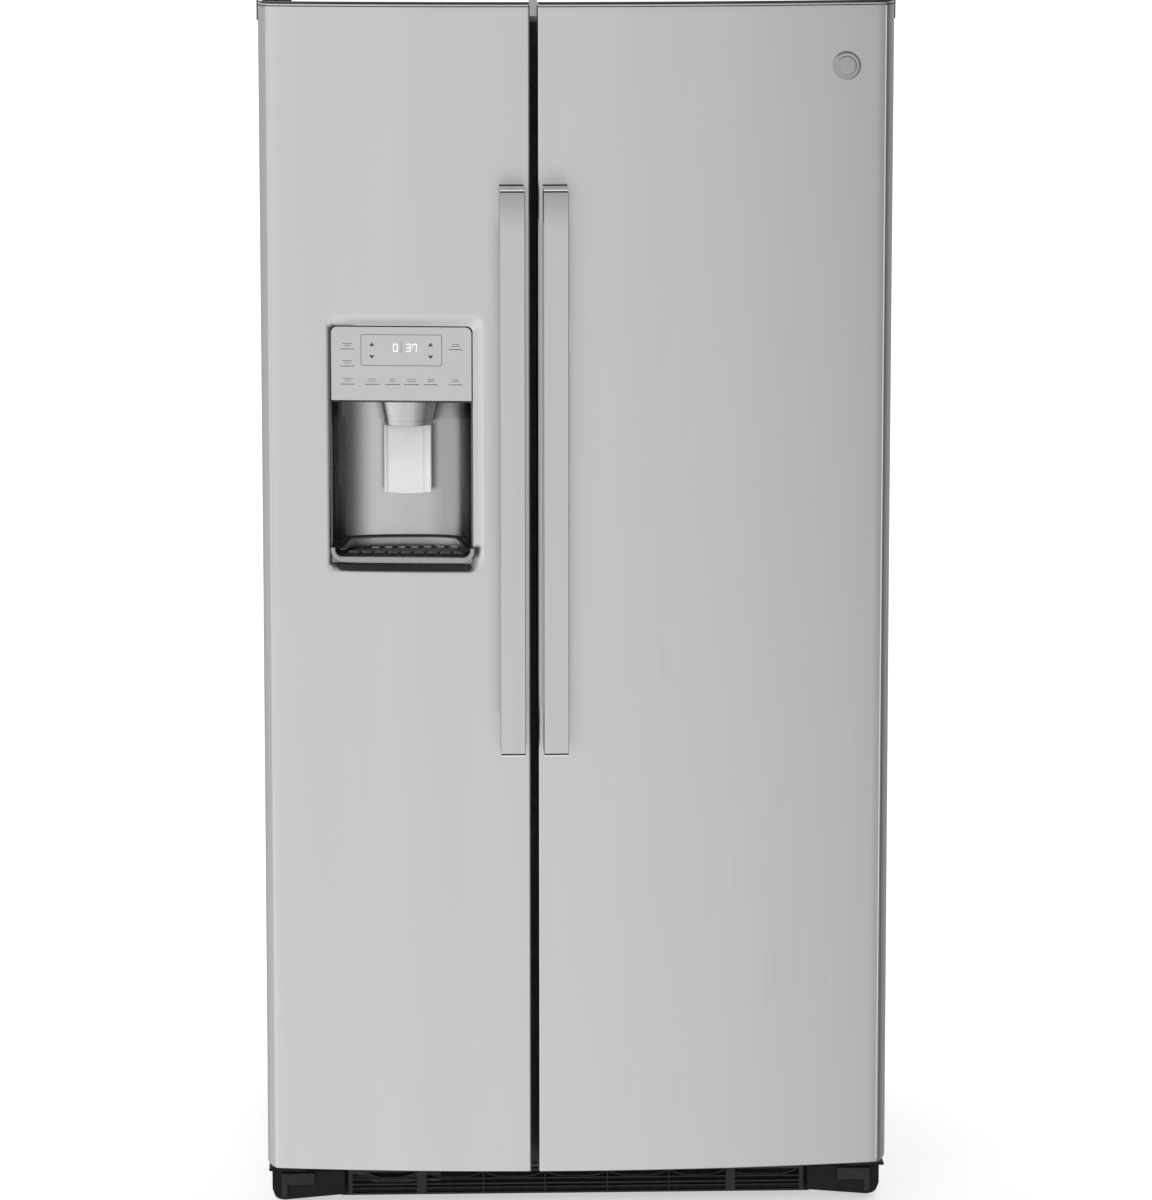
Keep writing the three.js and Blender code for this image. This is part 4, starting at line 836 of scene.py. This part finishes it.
def alcove_plan(grow=0.0):
    """Curve of the alcove's wall seen from above, between its two front edges."""
    centre = sum(NICHE_X) / 2
    half = (NICHE_X[1] - NICHE_X[0]) / 2 - 1.2 + grow
    curve = []
    for angle in steps(math.pi, 0, 56):
        c, s = math.cos(angle), math.sin(angle)
        x = centre + half * math.copysign(abs(c) ** ALCOVE_ROUND, c)
        curve.append((x, ALCOVE_RIM + (ALCOVE_BACK + grow - ALCOVE_RIM) * abs(s) ** ALCOVE_ROUND))
    kept = [(x, y) for x, y in curve if y > floor_y(x) + 0.4]
    left, right = centre - half, centre + half
    return [(left, floor_y(left)), *kept, (right, floor_y(right))]


def alcove():
    """Curved wall, floor and ceiling of the dispenser's hollow, with narrow front edges."""
    plan = alcove_plan()
    levels = [ALCOVE_Z[0], 1000, 1050, 1100, 1150, ALCOVE_Z[1]]
    points, faces = loft([flat("z", plan, z) for z in levels], cyclic=False)
    return Shape(points, [face[::-1] for face in faces])


def alcove_rim():
    shape = Shape()
    x0, x1 = shrunk(NICHE_X, 0.3)
    for a, b in ((x0, x0 + 1.2), (x1 - 1.2, x1)):
        shape.box((a, b), (0, 8), (NICHE_Z[0] + 0.3, ALCOVE_Z[1]), 0.3)
    shape.box((x0, x1), (0, 8), (NICHE_Z[0] + 0.3, ALCOVE_Z[0]), 0.3)
    return from_floor(shape)


def seal_ring():
    """Dark line round the control panel."""
    outline = arch(shrunk(NICHE_X, -0.2), (1199, NICHE_Z[1] + 0.2), 9.5)
    return from_floor(Shape().prism(outline, "y", (2.4, 7.5)))


NOZZLE_Y, NOZZLE_FLATTEN = -331, 0.64


def nozzle():
    """Oval spout with a thick rounded lip, and the ice passage behind it."""
    profile = [(42.8, 1206), (42.2, 1201), (36.4, 1173), (35.6, 1170.4), (36.2, 1169.6), (36.0, 1168.6),
               (35.2, 1164.6), (34.6, 1163.4), (33.6, 1163), (32.6, 1163.4), (32.2, 1165), (33, 1175),
               (39.6, 1206)]
    loops = [flat("z", ring((CHUTE_X, NOZZLE_Y), r, 48, NOZZLE_FLATTEN), z) for r, z in profile]
    return Shape().loft(loops, endless=True)


def chute():
    """Slanting ice passage through the door."""
    wide, deep = (CHUTE_X - 46, CHUTE_X + 46), (-232, -190)

    def mouth(z, inset, radius):
        return flat("z", rounded(shrunk(wide, inset), shrunk(deep, inset), radius), z)

    def foot(radius):
        turns = [math.radians(a) for start in (0, 90, 180, 270) for a in steps(start + 5, start + 85, 5)]
        return flat("z", [polar((CHUTE_X, NOZZLE_Y), radius, a, NOZZLE_FLATTEN) for a in turns], 1204)

    return Shape().loft([foot(42.5), mouth(1311, 0, 12), mouth(1325, 0, 12),
                         mouth(1325, 3, 10), mouth(1311, 3, 10), foot(39.5)], endless=True)


def paddle():
    """Frosted press pad with raised rails, a recessed face and an outward-curved foot."""
    x0, x1, foot, front_y, back_y = -277, -209, 1061, -327, -322
    columns = [(x0, 0.6), (x0 + 0.4, -3.4), (x0 + 1.4, -4), (x0 + 3, -4), (x0 + 3.8, -3.2), (x0 + 4.2, -0.6),
               (x0 + 6, 0), (x0 + 28, -0.8), (x1 - 18, -0.3), (x1 - 16.5, -2.0), (x1 - 12, -2.2),
               (x1 - 10.5, -0.8), (x1 - 4.4, -0.6), (x1 - 3.8, -3.2), (x1 - 3, -4), (x1 - 1.4, -4),
               (x1 - 0.4, -3.4), (x1, 0.6)]
    levels = [foot, foot + 0.6, foot + 2, 1080, 1110, 1140, 1157, 1161]
    loops = []
    middle = (x0 + x1) / 2
    for i, z in enumerate(levels):
        tuck = [1.6, 0.5, 0][min(i, 2)]
        lift = 3 * max(1 - (z - foot) / 12, 0)
        front = []
        for x, y in columns:
            sag = lift * (1 - ((x - middle) / 34) ** 2)
            front.append((middle + (x - middle) * (1 - tuck / 60), front_y + y + tuck, z + lift - sag))
        rear = [(x, back_y - tuck * 0.5, z + lift) for x in steps(x1 - 0.4, x0 + 0.4, 6)]
        loops.append(front + rear)
    shape = Shape().loft(loops)
    shape.rod("x", (-314, 1156), 3.5, (x0 + 9, x1 - 9), 0.5, 16)
    return shape.box((x0 + 14, x1 - 14), (-323, -314), (1154, 1158), 0.5)


def tray_lip():
    """Smile-shaped front of the drip tray."""
    x0, x1, top, shelf, low, band = NICHE_X[0] - 0.8, NICHE_X[1] + 2.5, 991, 978, 969, 7
    turn = top - 4
    outer, inner = turn - low, turn - shelf
    outline = [(x0, top), *arc((x0 + outer, turn), outer, 180, 270, 8),
               *arc((x1 - outer, turn), outer, 270, 360, 8), (x1, top), (x1 - band, top),
               *arc((x1 - band - inner, turn), inner, 360, 270, 8),
               *arc((x0 + band + inner, turn), inner, 270, 180, 8), (x0 + band, top)]
    return from_floor(Shape().prism(outline, "y", (-12.6, -2.4), 1.6, 3))


def tray_ledge():
    """Bright curved ledge behind the grille, falling away at both ends."""
    outer, inner = alcove_plan(-1.2)[8:-8], alcove_plan(-7)[8:-8]
    count = min(len(outer), len(inner))
    loops = []
    for i, (a, b) in enumerate(zip(outer[:count], inner[:count])):
        full = min(1, 0.05 + min(i, count - 1 - i) / 5)
        section = [(0, 982), (0, 996.5), (0.2, 997.6), (0.75, 997), (1, 994.5), (1, 982)]
        loops.append([(mix(a[0], b[0], t), mix(a[1], b[1], t), mix(981, z, full)) for t, z in section])
    return Shape().loft(loops)


def tray_floor():
    plan = alcove_plan(-1.4)
    front = [(x, floor_y(x) - 2.3) for x in (plan[-1][0], plan[0][0])]
    return Shape().prism([*plan, *front], "z", (975.3, 980), 0.4)


LOUVRE_X = (-322, -172)


def tray_louvres():
    """Slanting ribs of the drip tray's grille."""
    shape = Shape()
    low, high = 979.5, 984
    section = [(0, low), (14.6, low), (14.6, low + 2.2), (2, high), (0, high - 0.6)]
    for x in steps(*LOUVRE_X, 8):
        back = -333 if x in LOUVRE_X else -325
        shape.loft([[(x + 9 + u, back, v) for u, v in section],
                    [(x - 7 + u, floor_y(x) + 2, v) for u, v in section]], 0.35)
    return shape


def tray_rib_painted_highlights():
    """Painted highlights: rounded ends of the louvres in lighter silver, along the back of the grille."""
    shape = Shape()
    for x in steps(*LOUVRE_X, 8)[1:-1]:
        shape.box((x + 8, x + 19), (-331, -326), (980.5, 985.2), 1.2, 3)
    return shape


def tray_painted_shadow_line():
    """Painted shadow: a thin dark strip between the ledge and the alcove's wall."""
    loops = []
    for a, b in zip(alcove_plan(-0.9)[2:-2], alcove_plan(-2.4)[2:-2]):
        loops.append([(*a, 996.8), (*a, 998.9), (*b, 998.9), (*b, 996.8)])
    return Shape().loft(loops)


piece("recess_lower_painted_shade", recess_painted_shade(), "dark_plastic", "freezer_door")
piece("dispenser_control_panel", control_panel(), "satin_silver", "freezer_door", "dispenser_panel")
piece("panel_key_lines", panel_lines(), "dark_plastic", "freezer_door")
piece("panel_window_frame", window_frame(), "dark_plastic", "freezer_door")
piece("panel_figures", figures(), "display_white", "freezer_door")
piece("panel_seal_ring", seal_ring(), "black_plastic", "freezer_door")
piece("dispenser_alcove", alcove(), "alcove_silver_painted_shading", "freezer_door", "dispenser_housing", thick=1.0)
piece("dispenser_alcove_rim", alcove_rim(), "alcove_silver_painted_shading", "freezer_door")
piece("dispenser_spout", nozzle(), "alcove_silver_painted_shading", "freezer_door", "ice_chute")
piece("ice_passage", chute(), "white_plastic", "freezer_door")
piece("dispenser_press_pad", paddle(), "frosted_plastic", "paddle", "dispenser_paddle")
piece("drip_tray_lip", tray_lip(), "tray_silver", "tray", "drip_tray")
piece("drip_tray_ledge", tray_ledge(), "tray_silver", "tray")
piece("drip_tray_floor", tray_floor(), "black_plastic", "tray")
piece("drip_tray_louvres", tray_louvres(), "louvre_gray", "tray")
piece("drip_tray_rib_ends", tray_rib_painted_highlights(), "satin_silver", "tray")
piece("drip_tray_painted_shadow_strip", tray_painted_shadow_line(), "black_plastic", "tray")

# ---- cabinet ----


def case_shell():
    """Bent sheet steel over the sides and top, with the front return folded in."""
    folds = [(CASE_BACK, 0, 5), (CASE_FRONT + 2.5, 0, 5), (CASE_FRONT + 0.7, 0.7, 5), (CASE_FRONT, 2.5, 4),
             (CASE_FRONT, 20, 3), (CASE_FRONT + 2, 20.4, 3)]
    loops = []
    for y, inset, radius in folds:
        foot, *rest = arch(shrunk((-CASE_HALF, CASE_HALF), inset), (CASE_BOTTOM, CASE_TOP - inset), radius)
        loops.append(flat("y", [*rest, foot], y))
    return Shape(*loft(loops, caps=False, cyclic=False))


def case_frame():
    """Centre divider, bottom rail and front face of the cabinet."""
    front = (CASE_FRONT, CASE_FRONT + 2)
    shape = Shape().box((-90, -36), front, (88, 1726), 0.5)
    shape.box((-430, 430), front, (CASE_BOTTOM, 90), 0.5)
    return shape


CEILING = 1685  # of both cavities


def liner(x, flange_x):
    """Moulded cavity with rounded corners, a raised floor over the machine compartment and a front flange."""
    floor = [(CASE_FRONT + 3, 130), (96, 130), (104, 132), (112, 144), (150, 368), (157, 380), (168, 385),
             (345, 385)]
    levels = [(CASE_FRONT - 0.1, 128, -3.0, 28), (CASE_FRONT + 0.8, 129.5, -0.8, 26),
              *[(y, z, 0, 24) for y, z in floor], (352, 385, 3, 22), (356.2, 385, 11, 18)]
    loops = [flat("y", rounded(shrunk(flange_x, inset), shrunk((90, 1724), inset), 6, 8), CASE_FRONT + y)
             for inset, y in ((0.4, 0.2), (1.2, -0.1))]
    loops += [flat("y", rounded(shrunk(x, 3 + inset), (z + 3 + inset, CEILING - inset), radius, 8), y)
              for y, z, inset, radius in levels]
    points, faces = loft(loops, caps=False)
    faces.append([len(points) - len(loops[0]) + i for i in range(len(loops[0]))])
    return Shape(points, faces)


def rails(x, levels, y):
    """Moulded ledges on both walls of a cavity."""
    shape = Shape()
    for z in levels:
        for a, b in ((x[0] - 1, x[0] + 7), (x[1] - 7, x[1] + 1)):
            shape.box((a, b), y, (z - 9, z - 0.5), 2.2, 3)
    return shape


FREEZER_IN, FRESH_IN = (-389, -98), (-30, 399)


def slotted(x, y, z, slots):
    """A raised plate with a row of louvres standing out of it."""
    shape = Shape().box(x, y, z, 1.5, 3)
    for i in range(slots):
        at = mix(z[0] + 14, z[1] - 14, (i + 0.5) / slots)
        lip = [(y[0] + 0.2, at - 4), (y[0] - 2.2, at - 3.4), (y[0] - 2.6, at - 2.4), (y[0] + 0.2, at + 3)]
        shape.prism(lip, "x", (x[0] + 10, x[1] - 10), 0.4)
    return shape


piece("case_steel", case_shell(), "case_paint", "cabinet", "outer_case", thick=1.4)
piece("case_front_frame", case_frame(), "case_paint", "cabinet")
# black strip down the centre divider; where it runs down over the bottom rail it is painted shade for the gap
# between the doors
piece("centre_strip_and_painted_shade", Shape().box((-72, -54), (CASE_FRONT - 0.4, CASE_FRONT), (49, 1736), 0.15),
      "black_plastic", "cabinet")
for name, x, flange_x in (("freezer", (-392, -95), (-430, -90)), ("fresh_food", (-33, 402), (-36, 430))):
    piece(f"{name}_cavity", liner(x, flange_x), "white_liner", "cabinet", f"{name}_liner", thick=1.5)
piece("freezer_rails", rails(FREEZER_IN, (1326, 800, 385), (-150, 275)), "white_liner", "cabinet")
piece("fresh_food_rails", rails(FRESH_IN, (1330, 980, 634), (-150, 340)), "white_liner", "cabinet")
piece("freezer_duct_cover", refined("evaporator_cover", 1.2), "white_liner", "cabinet", "evaporator_cover")


def fan_guard():
    """Three wire rings on four arms, with a hub."""
    centre, y, wire = (CHUTE_X, 1222), 286.6, 1.6
    shape = Shape()
    for radius in (16, 30, 44):
        shape.tube(flat("y", arc(centre, radius, 0, 360, 40), y), wire, 8)
    for i in range(4):
        a = math.radians(45 + 90 * i)
        shape.tube(flat("y", [polar(centre, 14, a), polar(centre, 53, a)], y), wire, 8)
    return shape.rod("y", centre, 17, (285.4, 288.2), 0.8)


piece("freezer_fan_guard", fan_guard(), "white_liner", "cabinet")
piece("freezer_air_louvres", slotted((-330, -157), (286.2, 289), (980, 1110), 6), "white_liner", "cabinet")
piece("fresh_food_air_tower", slotted((145, 224), (347, 357), (700, 1640), 24), "white_liner", "cabinet")


def lamp(x, y):
    """Frosted lamp cover under a cavity's ceiling."""
    return Shape().box((x - 70, x + 70), (y - 28, y + 28), (CEILING - 8, CEILING + 0.5), 4, 3)


piece("freezer_lamp", lamp(-243, -210), "frosted_plastic", "cabinet")
piece("fresh_food_lamp", lamp(184, -180), "frosted_plastic", "cabinet")


# ---- shelves, drawers and bins in the cabinet ----


def shelf_trim(x, y, z, thick):
    """Moulded frame round a glass shelf, with a deeper front edge."""
    top = z + thick
    section = [(1.2, z), (0, z + 1.2), (0, top - 1.5), (1.5, top), (9, top), (10, top - 1),
               (10, z + 1), (9, z)]
    loops = [flat("z", rounded(shrunk(x, inset), shrunk(y, inset), 12 - inset), height)
             for inset, height in section]
    shape = Shape().loft(loops, endless=True)
    return shape.box(shrunk(x, 14), (y[0], y[0] + 16), shrunk((z, top), 0.4), 2)


def glass_pane(x, y, z, thick):
    outline = rounded(shrunk(x, 8), shrunk(y, 8), 6, 4)
    return Shape().prism(outline, "z", (z + thick - 6, z + thick - 2), 0.4)


FREEZER_SHELF = (-387, -100), (-165, 280), 14
FRESH_SHELF = (-28, 397), (-165, 350), 16
for node, z, (x, y, thick) in (
        ("bucket_shelf", 1326, FREEZER_SHELF), ("freezer_shelf", 800, FREEZER_SHELF),
        ("upper_glass_shelf", 1330, FRESH_SHELF), ("lower_glass_shelf", 980, FRESH_SHELF),
        ("crisper_cover", 634, FRESH_SHELF)):
    piece(f"{node}_pane", glass_pane(x, y, z, thick), "shelf_glass", "cabinet", node)
    piece(f"{node}_trim", shelf_trim(x, y, z, thick), "white_plastic", "cabinet")


def drawer_front(x, y, z):
    """Rounded front and scooped pull of a drawer."""
    shape = Shape().box(x, (y, y + 9), z, 4, 3)
    section = [(2, 30), (-6, 27), (-8, 22), (-8, 14), (-5, 11), (2, 10)]
    return shape.prism([(y + out, z[1] - down) for out, down in section], "x", shrunk(x, 22), 1.5)


DRAWERS = {
    "freezer_basket": ("basket", (-366, -108), (-157, 92), (150, 372)),
    "crisper_upper": ("upper_drawer", (-18, 362), (-149, 330), (400, 622)),
    "crisper_lower": ("lower_drawer", (-18, 362), (-149, 92), (150, 372)),
}
for node, (body, x, y, z) in DRAWERS.items():
    piece(f"{node}_tub", open_bin(x, y, z, 2.5, 16, 5), "clear_plastic", body, node)
    piece(f"{node}_front", drawer_front(shrunk(x, 1), y[0] - 8, (z[0] + 4, z[1])), "clear_plastic", body)
    strip = Shape().box(shrunk(x, 30), (y[0] - 16.4, y[0] - 14), (z[1] - 25, z[1] - 15), 0.8)
    piece(f"{node}_grip", strip, "white_plastic", body)


def auger():
    """Spiral ice drive along the bucket's floor."""
    x, z, radius, start, length, turns = -243, 1387, 27, -190, 270, 7
    path = [(x + radius * math.cos(t), start + length * t / (2 * math.pi * turns), z + radius * math.sin(t))
            for t in steps(0, 2 * math.pi * turns, 24 * turns)]
    return Shape().tube(path, 3.2, 8).rod("y", (x, z), 4, (-205, 96))


piece("ice_bucket_tub", open_bin((-380, -108), (-214, 105), (1345, 1530), 3, 18, 5), "clear_plastic",
      "bucket", "ice_bucket")
piece("ice_bucket_front", Shape().box((-378, -110), (-230, -206), (1352, 1530), 9, 4), "white_plastic",
      "bucket")
piece("ice_auger", auger(), "zinc_steel", "bucket")


def ice_machine():
    shape = refined("ice_maker", 4, 3)
    shape.box((-372, -138), (-22.5, -18), (1590, 1632), 2)
    for i in range(7):
        x = -352 + i * 30
        shape.box((x, x + 18), (-10, 132), (1561, 1570), 2)
    return shape


piece("ice_maker_body", ice_machine(), "white_plastic", "cabinet", "ice_maker")
piece("ice_maker_arm", Shape().tube(smooth_path([
    (-380.5, 40, 1600), (-383, 30, 1580), (-383, 10, 1555), (-383, -12, 1550), (-383, -20, 1556)]), 1.8, 8),
    "zinc_steel", "cabinet")


def filter_cartridge():
    """Stepped cylinder with a grip bar and a ring of small ribs."""
    centre = (345, 1624)
    profile = [(28, 296), (30, 292), (32, 286), (32, 96), (31, 92), (31, 84), (32, 80), (32, 48), (30, 42),
               (24, 40)]
    shape = Shape().revolve("y", centre, profile, 40)
    shape.box((341, 349), (22, 44), (1601, 1647), 2.5, 3)
    for rib in ring(centre, 31.4, 20):
        shape.rod("y", rib, 1.1, (52, 76), 0.3, 8)
    return shape


piece("filter_cartridge", filter_cartridge(), "white_plastic", "filter", "water_filter")
piece("filter_head", refined("filter_housing", 4, 3), "white_plastic", "cabinet", "filter_housing")

# ---- top hinges ----

for side, name in ((-1, "left"), (1, "right")):
    span = sorted((side * 396, side * 449.5))
    low, high, front, back = CASE_TOP + 0.4, 1774.6, -278.5, -165
    outline = [(front, low), (back, low), (back, 1760), (back - 15, high), (front, high)]
    cover = Shape().prism(outline, "x", span, 4, 4)
    for screw_y in (-186, -262):
        cover.rod("z", (side * 423, screw_y), 4, (1768, 1774.9), 0.8)
    piece(f"{name}_hinge_cap", cover, "dark_plastic", "cabinet", f"{name}_hinge_cover")
    strap = f"{name}_top_hinge"
    piece(f"{name}_hinge_strap", refined(strap, 0.8), "zinc_steel", "cabinet", strap)

# ---- base ----


def base_painted_shade():
    """Ribbed dark sheet behind the air grille: painted shade, standing for the shade under the cabinet."""
    shape = Shape().box((-346, 346), (-279, -277), (3, 55), 0.4)
    for x in steps(-324, 324, 27):
        shape.box((x - 1.2, x + 1.2), (-282, -278.5), (6, 53), 0.4)
    return shape


def water_lines():
    """Water tubes that pass behind the left end of the grille."""
    shape = Shape()
    for start, low, end in ((37, 29, 36), (31, 25, 28)):
        shape.tube(smooth_path([(-336, -285, start), (-312, -285, start), (-286, -285.5, low),
                                (-258, -285, low + 1), (-230, -285, end), (-200, -285, end)]), 2.6, 10)
    return shape


def air_grille():
    """Rails across the base between posts and thin ribs, with a scalloped wire in each bay."""
    half, y, (low, high) = 335.9, (-300, -292), (9, 47)
    shape = Shape()
    for z in ((low, low + 3), (18, 20), (23.5, 26), (31.5, 33.5), (high - 4, high)):
        shape.box((-half, half), y, z, 0.4)
    posts = [(46, 1.6), (137, 1.6), (228, 14), (half - 3, 6)]
    for x, wide in [(-x, wide) for x, wide in posts[::-1]] + posts:
        shape.box((x - wide / 2, x + wide / 2), shrunk(y, 0.1), shrunk((low, high), 0.1), 0.4)
    bays = [-328, -222, -137, -46, 46, 137, 222, 328]
    for a, b in zip(bays, bays[1:]):
        dip = [(a + 2, 42), (a + 14, 37), (a + 26, 35), (b - 26, 35), (b - 14, 37), (b - 2, 42)]
        shape.tube(smooth_path([(x, -298.2, z) for x, z in dip]), 1.1, 8)
    return shape


def bracket_tab(side):
    """Step on the front of a bracket, shaped like a hook."""
    outline = [(386, 27), (426, 27), (426, 9), (434, 9), (434, 44), (386, 44)]
    return Shape().prism([(side * x, z) for x, z in outline][::side], "y", (-305.4, -304.6), 0.3)


piece("base_air_grille", air_grille(), "base_gray", "cabinet", "base_grille")
piece("base_baffle_sheet", base_painted_shade(), "base_black", "cabinet")
piece("base_water_lines", water_lines(), "louvre_gray", "cabinet")
for side, name in ((-1, "left"), (1, "right")):
    piece(f"{name}_front_bracket", refined(f"{name}_leg_bracket", 0.9), "bracket_black", "cabinet",
          f"{name}_leg_bracket")
    piece(f"{name}_bracket_tab", bracket_tab(side), "base_gray", "cabinet")
    centre = (side * 432, -274)
    leg = Shape().revolve("z", centre, [
        (11, 0), (13, 1.2), (13, 3.4), (11.5, 5), (6, 8), (5, 9.5), (5, 50)], 32)
    for i in range(14):
        z = 12 + i * 2.6
        leg.revolve("z", centre, [(4.6, z), (5.4, z + 1.2), (4.6, z + 2.4)], 24)
    piece(f"{name}_leveling_leg", leg, "zinc_steel", f"{name}_leg", f"leveling_leg_{name}")
    axle, x = (400, 22), side * 395
    tyre = [(19, -11), (21.4, -9.8), (22, -8), (22, 8), (21.4, 9.8), (19, 11)]
    wheel = Shape().revolve("x", axle, [(r, x + w) for r, w in tyre], 40)
    wheel.rod("x", axle, 4, (x - 16, x + 16))
    wheel.rod("x", axle, 9, (x - 12.6, x + 12.6), 1)
    piece(f"{name}_rear_roller", wheel, "black_plastic", f"{name}_roller", f"rear_roller_{name}")

# ---- back and machine compartment ----


def back_sheet():
    """Rear sheet with pressed stiffening ribs and a row of screws."""
    shape = Shape().box((-447.7, 447.7), (433.5, 436.4), (325, 1741.7), 0.6)
    for x in (-300, -100, 100, 300):
        shape.box((x - 26, x + 26), (435.4, 438.6), (420, 1660), 1.4, 3)
    for x in (-436, 436):
        for z in steps(360, 1710, 6):
            shape.revolve("y", (x, z), [(5.2, 436.2), (5.2, 437.6), (4, 439), (1.4, 439.2)], 16)
    return shape


def rear_cover():
    shape = refined("machine_cover", 0.6)
    for centre in (-250, 250):
        for row in range(6):
            z = 110 + row * 30
            blade = [(438.2, z + 11), (440.2, z + 10), (440.3, z + 7), (438.6, z + 9.4)]
            shape.prism(blade, "x", (centre - 110, centre + 110), 0.2)
    for x in (-430, -150, 0, 150, 430):
        for z in (74, 312):
            shape.revolve("y", (x, z), [(5, 440), (5, 440.2), (3.6, 440.5), (1.2, 440.5)], 16)
    return shape


piece("rear_sheet", back_sheet(), "zinc_steel", "cabinet", "back_panel")
piece("machine_compartment_cover", rear_cover(), "dark_plastic", "cabinet", "machine_cover")
piece("power_inlet_socket", refined("power_inlet", 0.6), "black_plastic", "cabinet", "power_inlet")
piece("compressor_pot", refined("compressor", 1.5), "black_paint", "cabinet", "compressor")
paint("foam", "insulation_foam")
paint("zinc_steel", "base_pan")
paint("black_paint", "condenser_coil")
paint("black_plastic", "condenser_fan")
paint("white_plastic", "water_valve", "evaporator_fan")
paint("aluminium", "evaporator_coil")

# ---- floor, light and camera ----


WINDOW = (-70, 21)  # azimuths of the bright window's edges, from the front towards +X
DARK_BAND = (38, 98)  # azimuths of the dim part of the room
DIM, SIDE, FRONT, OVERHEAD = 0.07, 0.36, 0.54, 1.6  # light from each part of the room
LEFT, REAR, DARK = 0.2, 0.8, 0.26
GROUND, GROUND_FRONT, GROUND_END = 0.3, 0.18, 50  # light from the pale ground round to an azimuth
FLOOR_HALF = 60  # metres

# camera that the photograph's outline fits, for a picture 1200 pixels high
CAMERA_PLACE, CAMERA_YAW, CAMERA_PITCH = (-0.2998, -8.4429, 2.3784), math.radians(2.171), math.radians(10.089)
PICTURE, SENSOR = 1200, 36  # pixels, millimetres
FOCAL, SHIFT_X, SHIFT_Y = 5710.1, -6.2, -20  # pixels


def link(name, data):
    obj = bpy.data.objects.new(name, data)
    bpy.context.scene.collection.objects.link(obj)
    return obj


def studio():
    floor = bpy.data.meshes.new("floor")
    corners = [(-1, -1), (1, -1), (1, 1), (-1, 1)]
    floor.from_pydata([(FLOOR_HALF * x, FLOOR_HALF * y, 0) for x, y in corners], [], [(0, 1, 2, 3)])
    floor.materials.append(
        finish("Pale_floor", (0.85, 0.85, 0.85), 0, 0.7, (2, 0.01), (3, 0.05), (40, 0.02), glow=0.5))
    obj = link("floor", floor)
    obj.visible_glossy = False  # reflections take the room's own lower half in its place
    bpy.context.scene.world = surroundings()


def surroundings():
    """Pale room: a bright window in front, brighter overhead behind, and white where it is seen directly."""
    world = bpy.data.worlds.new("studio")
    world.use_nodes = True
    tree = world.node_tree

    def calc(operation, *values):
        return add_node(tree, "Math", enumerate(values), operation=operation).outputs[0]

    def product(*values):
        return calc("MULTIPLY", *values)

    def fade(value, start, end):
        return add_node(tree, "MapRange", {"Value": value, "From Min": start, "From Max": end},
                        interpolation_type="SMOOTHSTEP").outputs["Result"]

    def inside(azimuth, sign):
        """How far round from an azimuth, counted from the front towards +X, a direction lies."""
        a = math.radians(azimuth)
        return calc("ADD", product(x, sign * math.cos(a)), product(y, sign * math.sin(a)))

    def between(azimuths, soft_start, soft_end):
        return product(fade(inside(azimuths[0], 1), -soft_start, soft_start),
                       fade(inside(azimuths[1], -1), -soft_end, soft_end))

    place = add_node(tree, "TexCoord").outputs["Generated"]
    x, y, z = add_node(tree, "SeparateXYZ", {"Vector": place}).outputs
    window_light = between(WINDOW, 0.15, 0.06)
    ground = product(fade(z, -0.08, -0.26), fade(inside(GROUND_END, -1), -0.3, 0.2))
    level = SIDE
    for light, amount in (
            (window_light, FRONT), (fade(x, -0.2, -0.7), LEFT), (between(DARK_BAND, 0.15, 0.15), -DARK),
            (product(fade(y, 0.6, 0.9), fade(z, -0.02, 0.08)), REAR),
            (product(ground, calc("SUBTRACT", 1, window_light)), GROUND),
            (product(ground, window_light), GROUND_FRONT)):
        level = calc("ADD", level, product(light, amount))
    overhead = product(fade(z, 0.3, 0.75), fade(y, -0.1, 0.2))
    strength = calc("ADD", DIM, product(fade(z, 0.75, 0.15), level))
    strength = calc("ADD", strength, product(overhead, OVERHEAD))
    seen = add_node(tree, "LightPath").outputs["Is Camera Ray"]
    strength = calc("ADD", product(strength, calc("SUBTRACT", 1, seen)), seen)
    fill(tree, tree.nodes["Background"].inputs["Color"], (1, 1, 1, 1))
    fill(tree, tree.nodes["Background"].inputs["Strength"], strength)
    return world


def soft_light(name, place, target, size, power):
    disk = bpy.data.lights.new(name, "AREA")
    disk.shape, disk.size, disk.energy = "DISK", size, power
    obj = link(name, disk)
    obj.location = place
    obj.rotation_euler = (Vector(target) - Vector(place)).to_track_quat("-Z", "Y").to_euler()


def camera():
    data = bpy.data.cameras.new("camera")
    data.lens = FOCAL * SENSOR / PICTURE
    data.shift_x, data.shift_y = SHIFT_X / PICTURE, SHIFT_Y / PICTURE
    data.clip_end = 200
    obj = link("camera", data)
    obj.location = CAMERA_PLACE
    level = math.cos(CAMERA_PITCH)
    ahead = Vector((math.sin(CAMERA_YAW) * level, math.cos(CAMERA_YAW) * level, -math.sin(CAMERA_PITCH)))
    obj.rotation_euler = ahead.to_track_quat("-Z", "Y").to_euler()
    bpy.context.scene.camera = obj


studio()
soft_light("key", (-2.6, -4.2, 3.4), (0, 0, 1.0), 2.6, 12)
camera()
bpy.context.scene.view_settings.view_transform = "Standard"
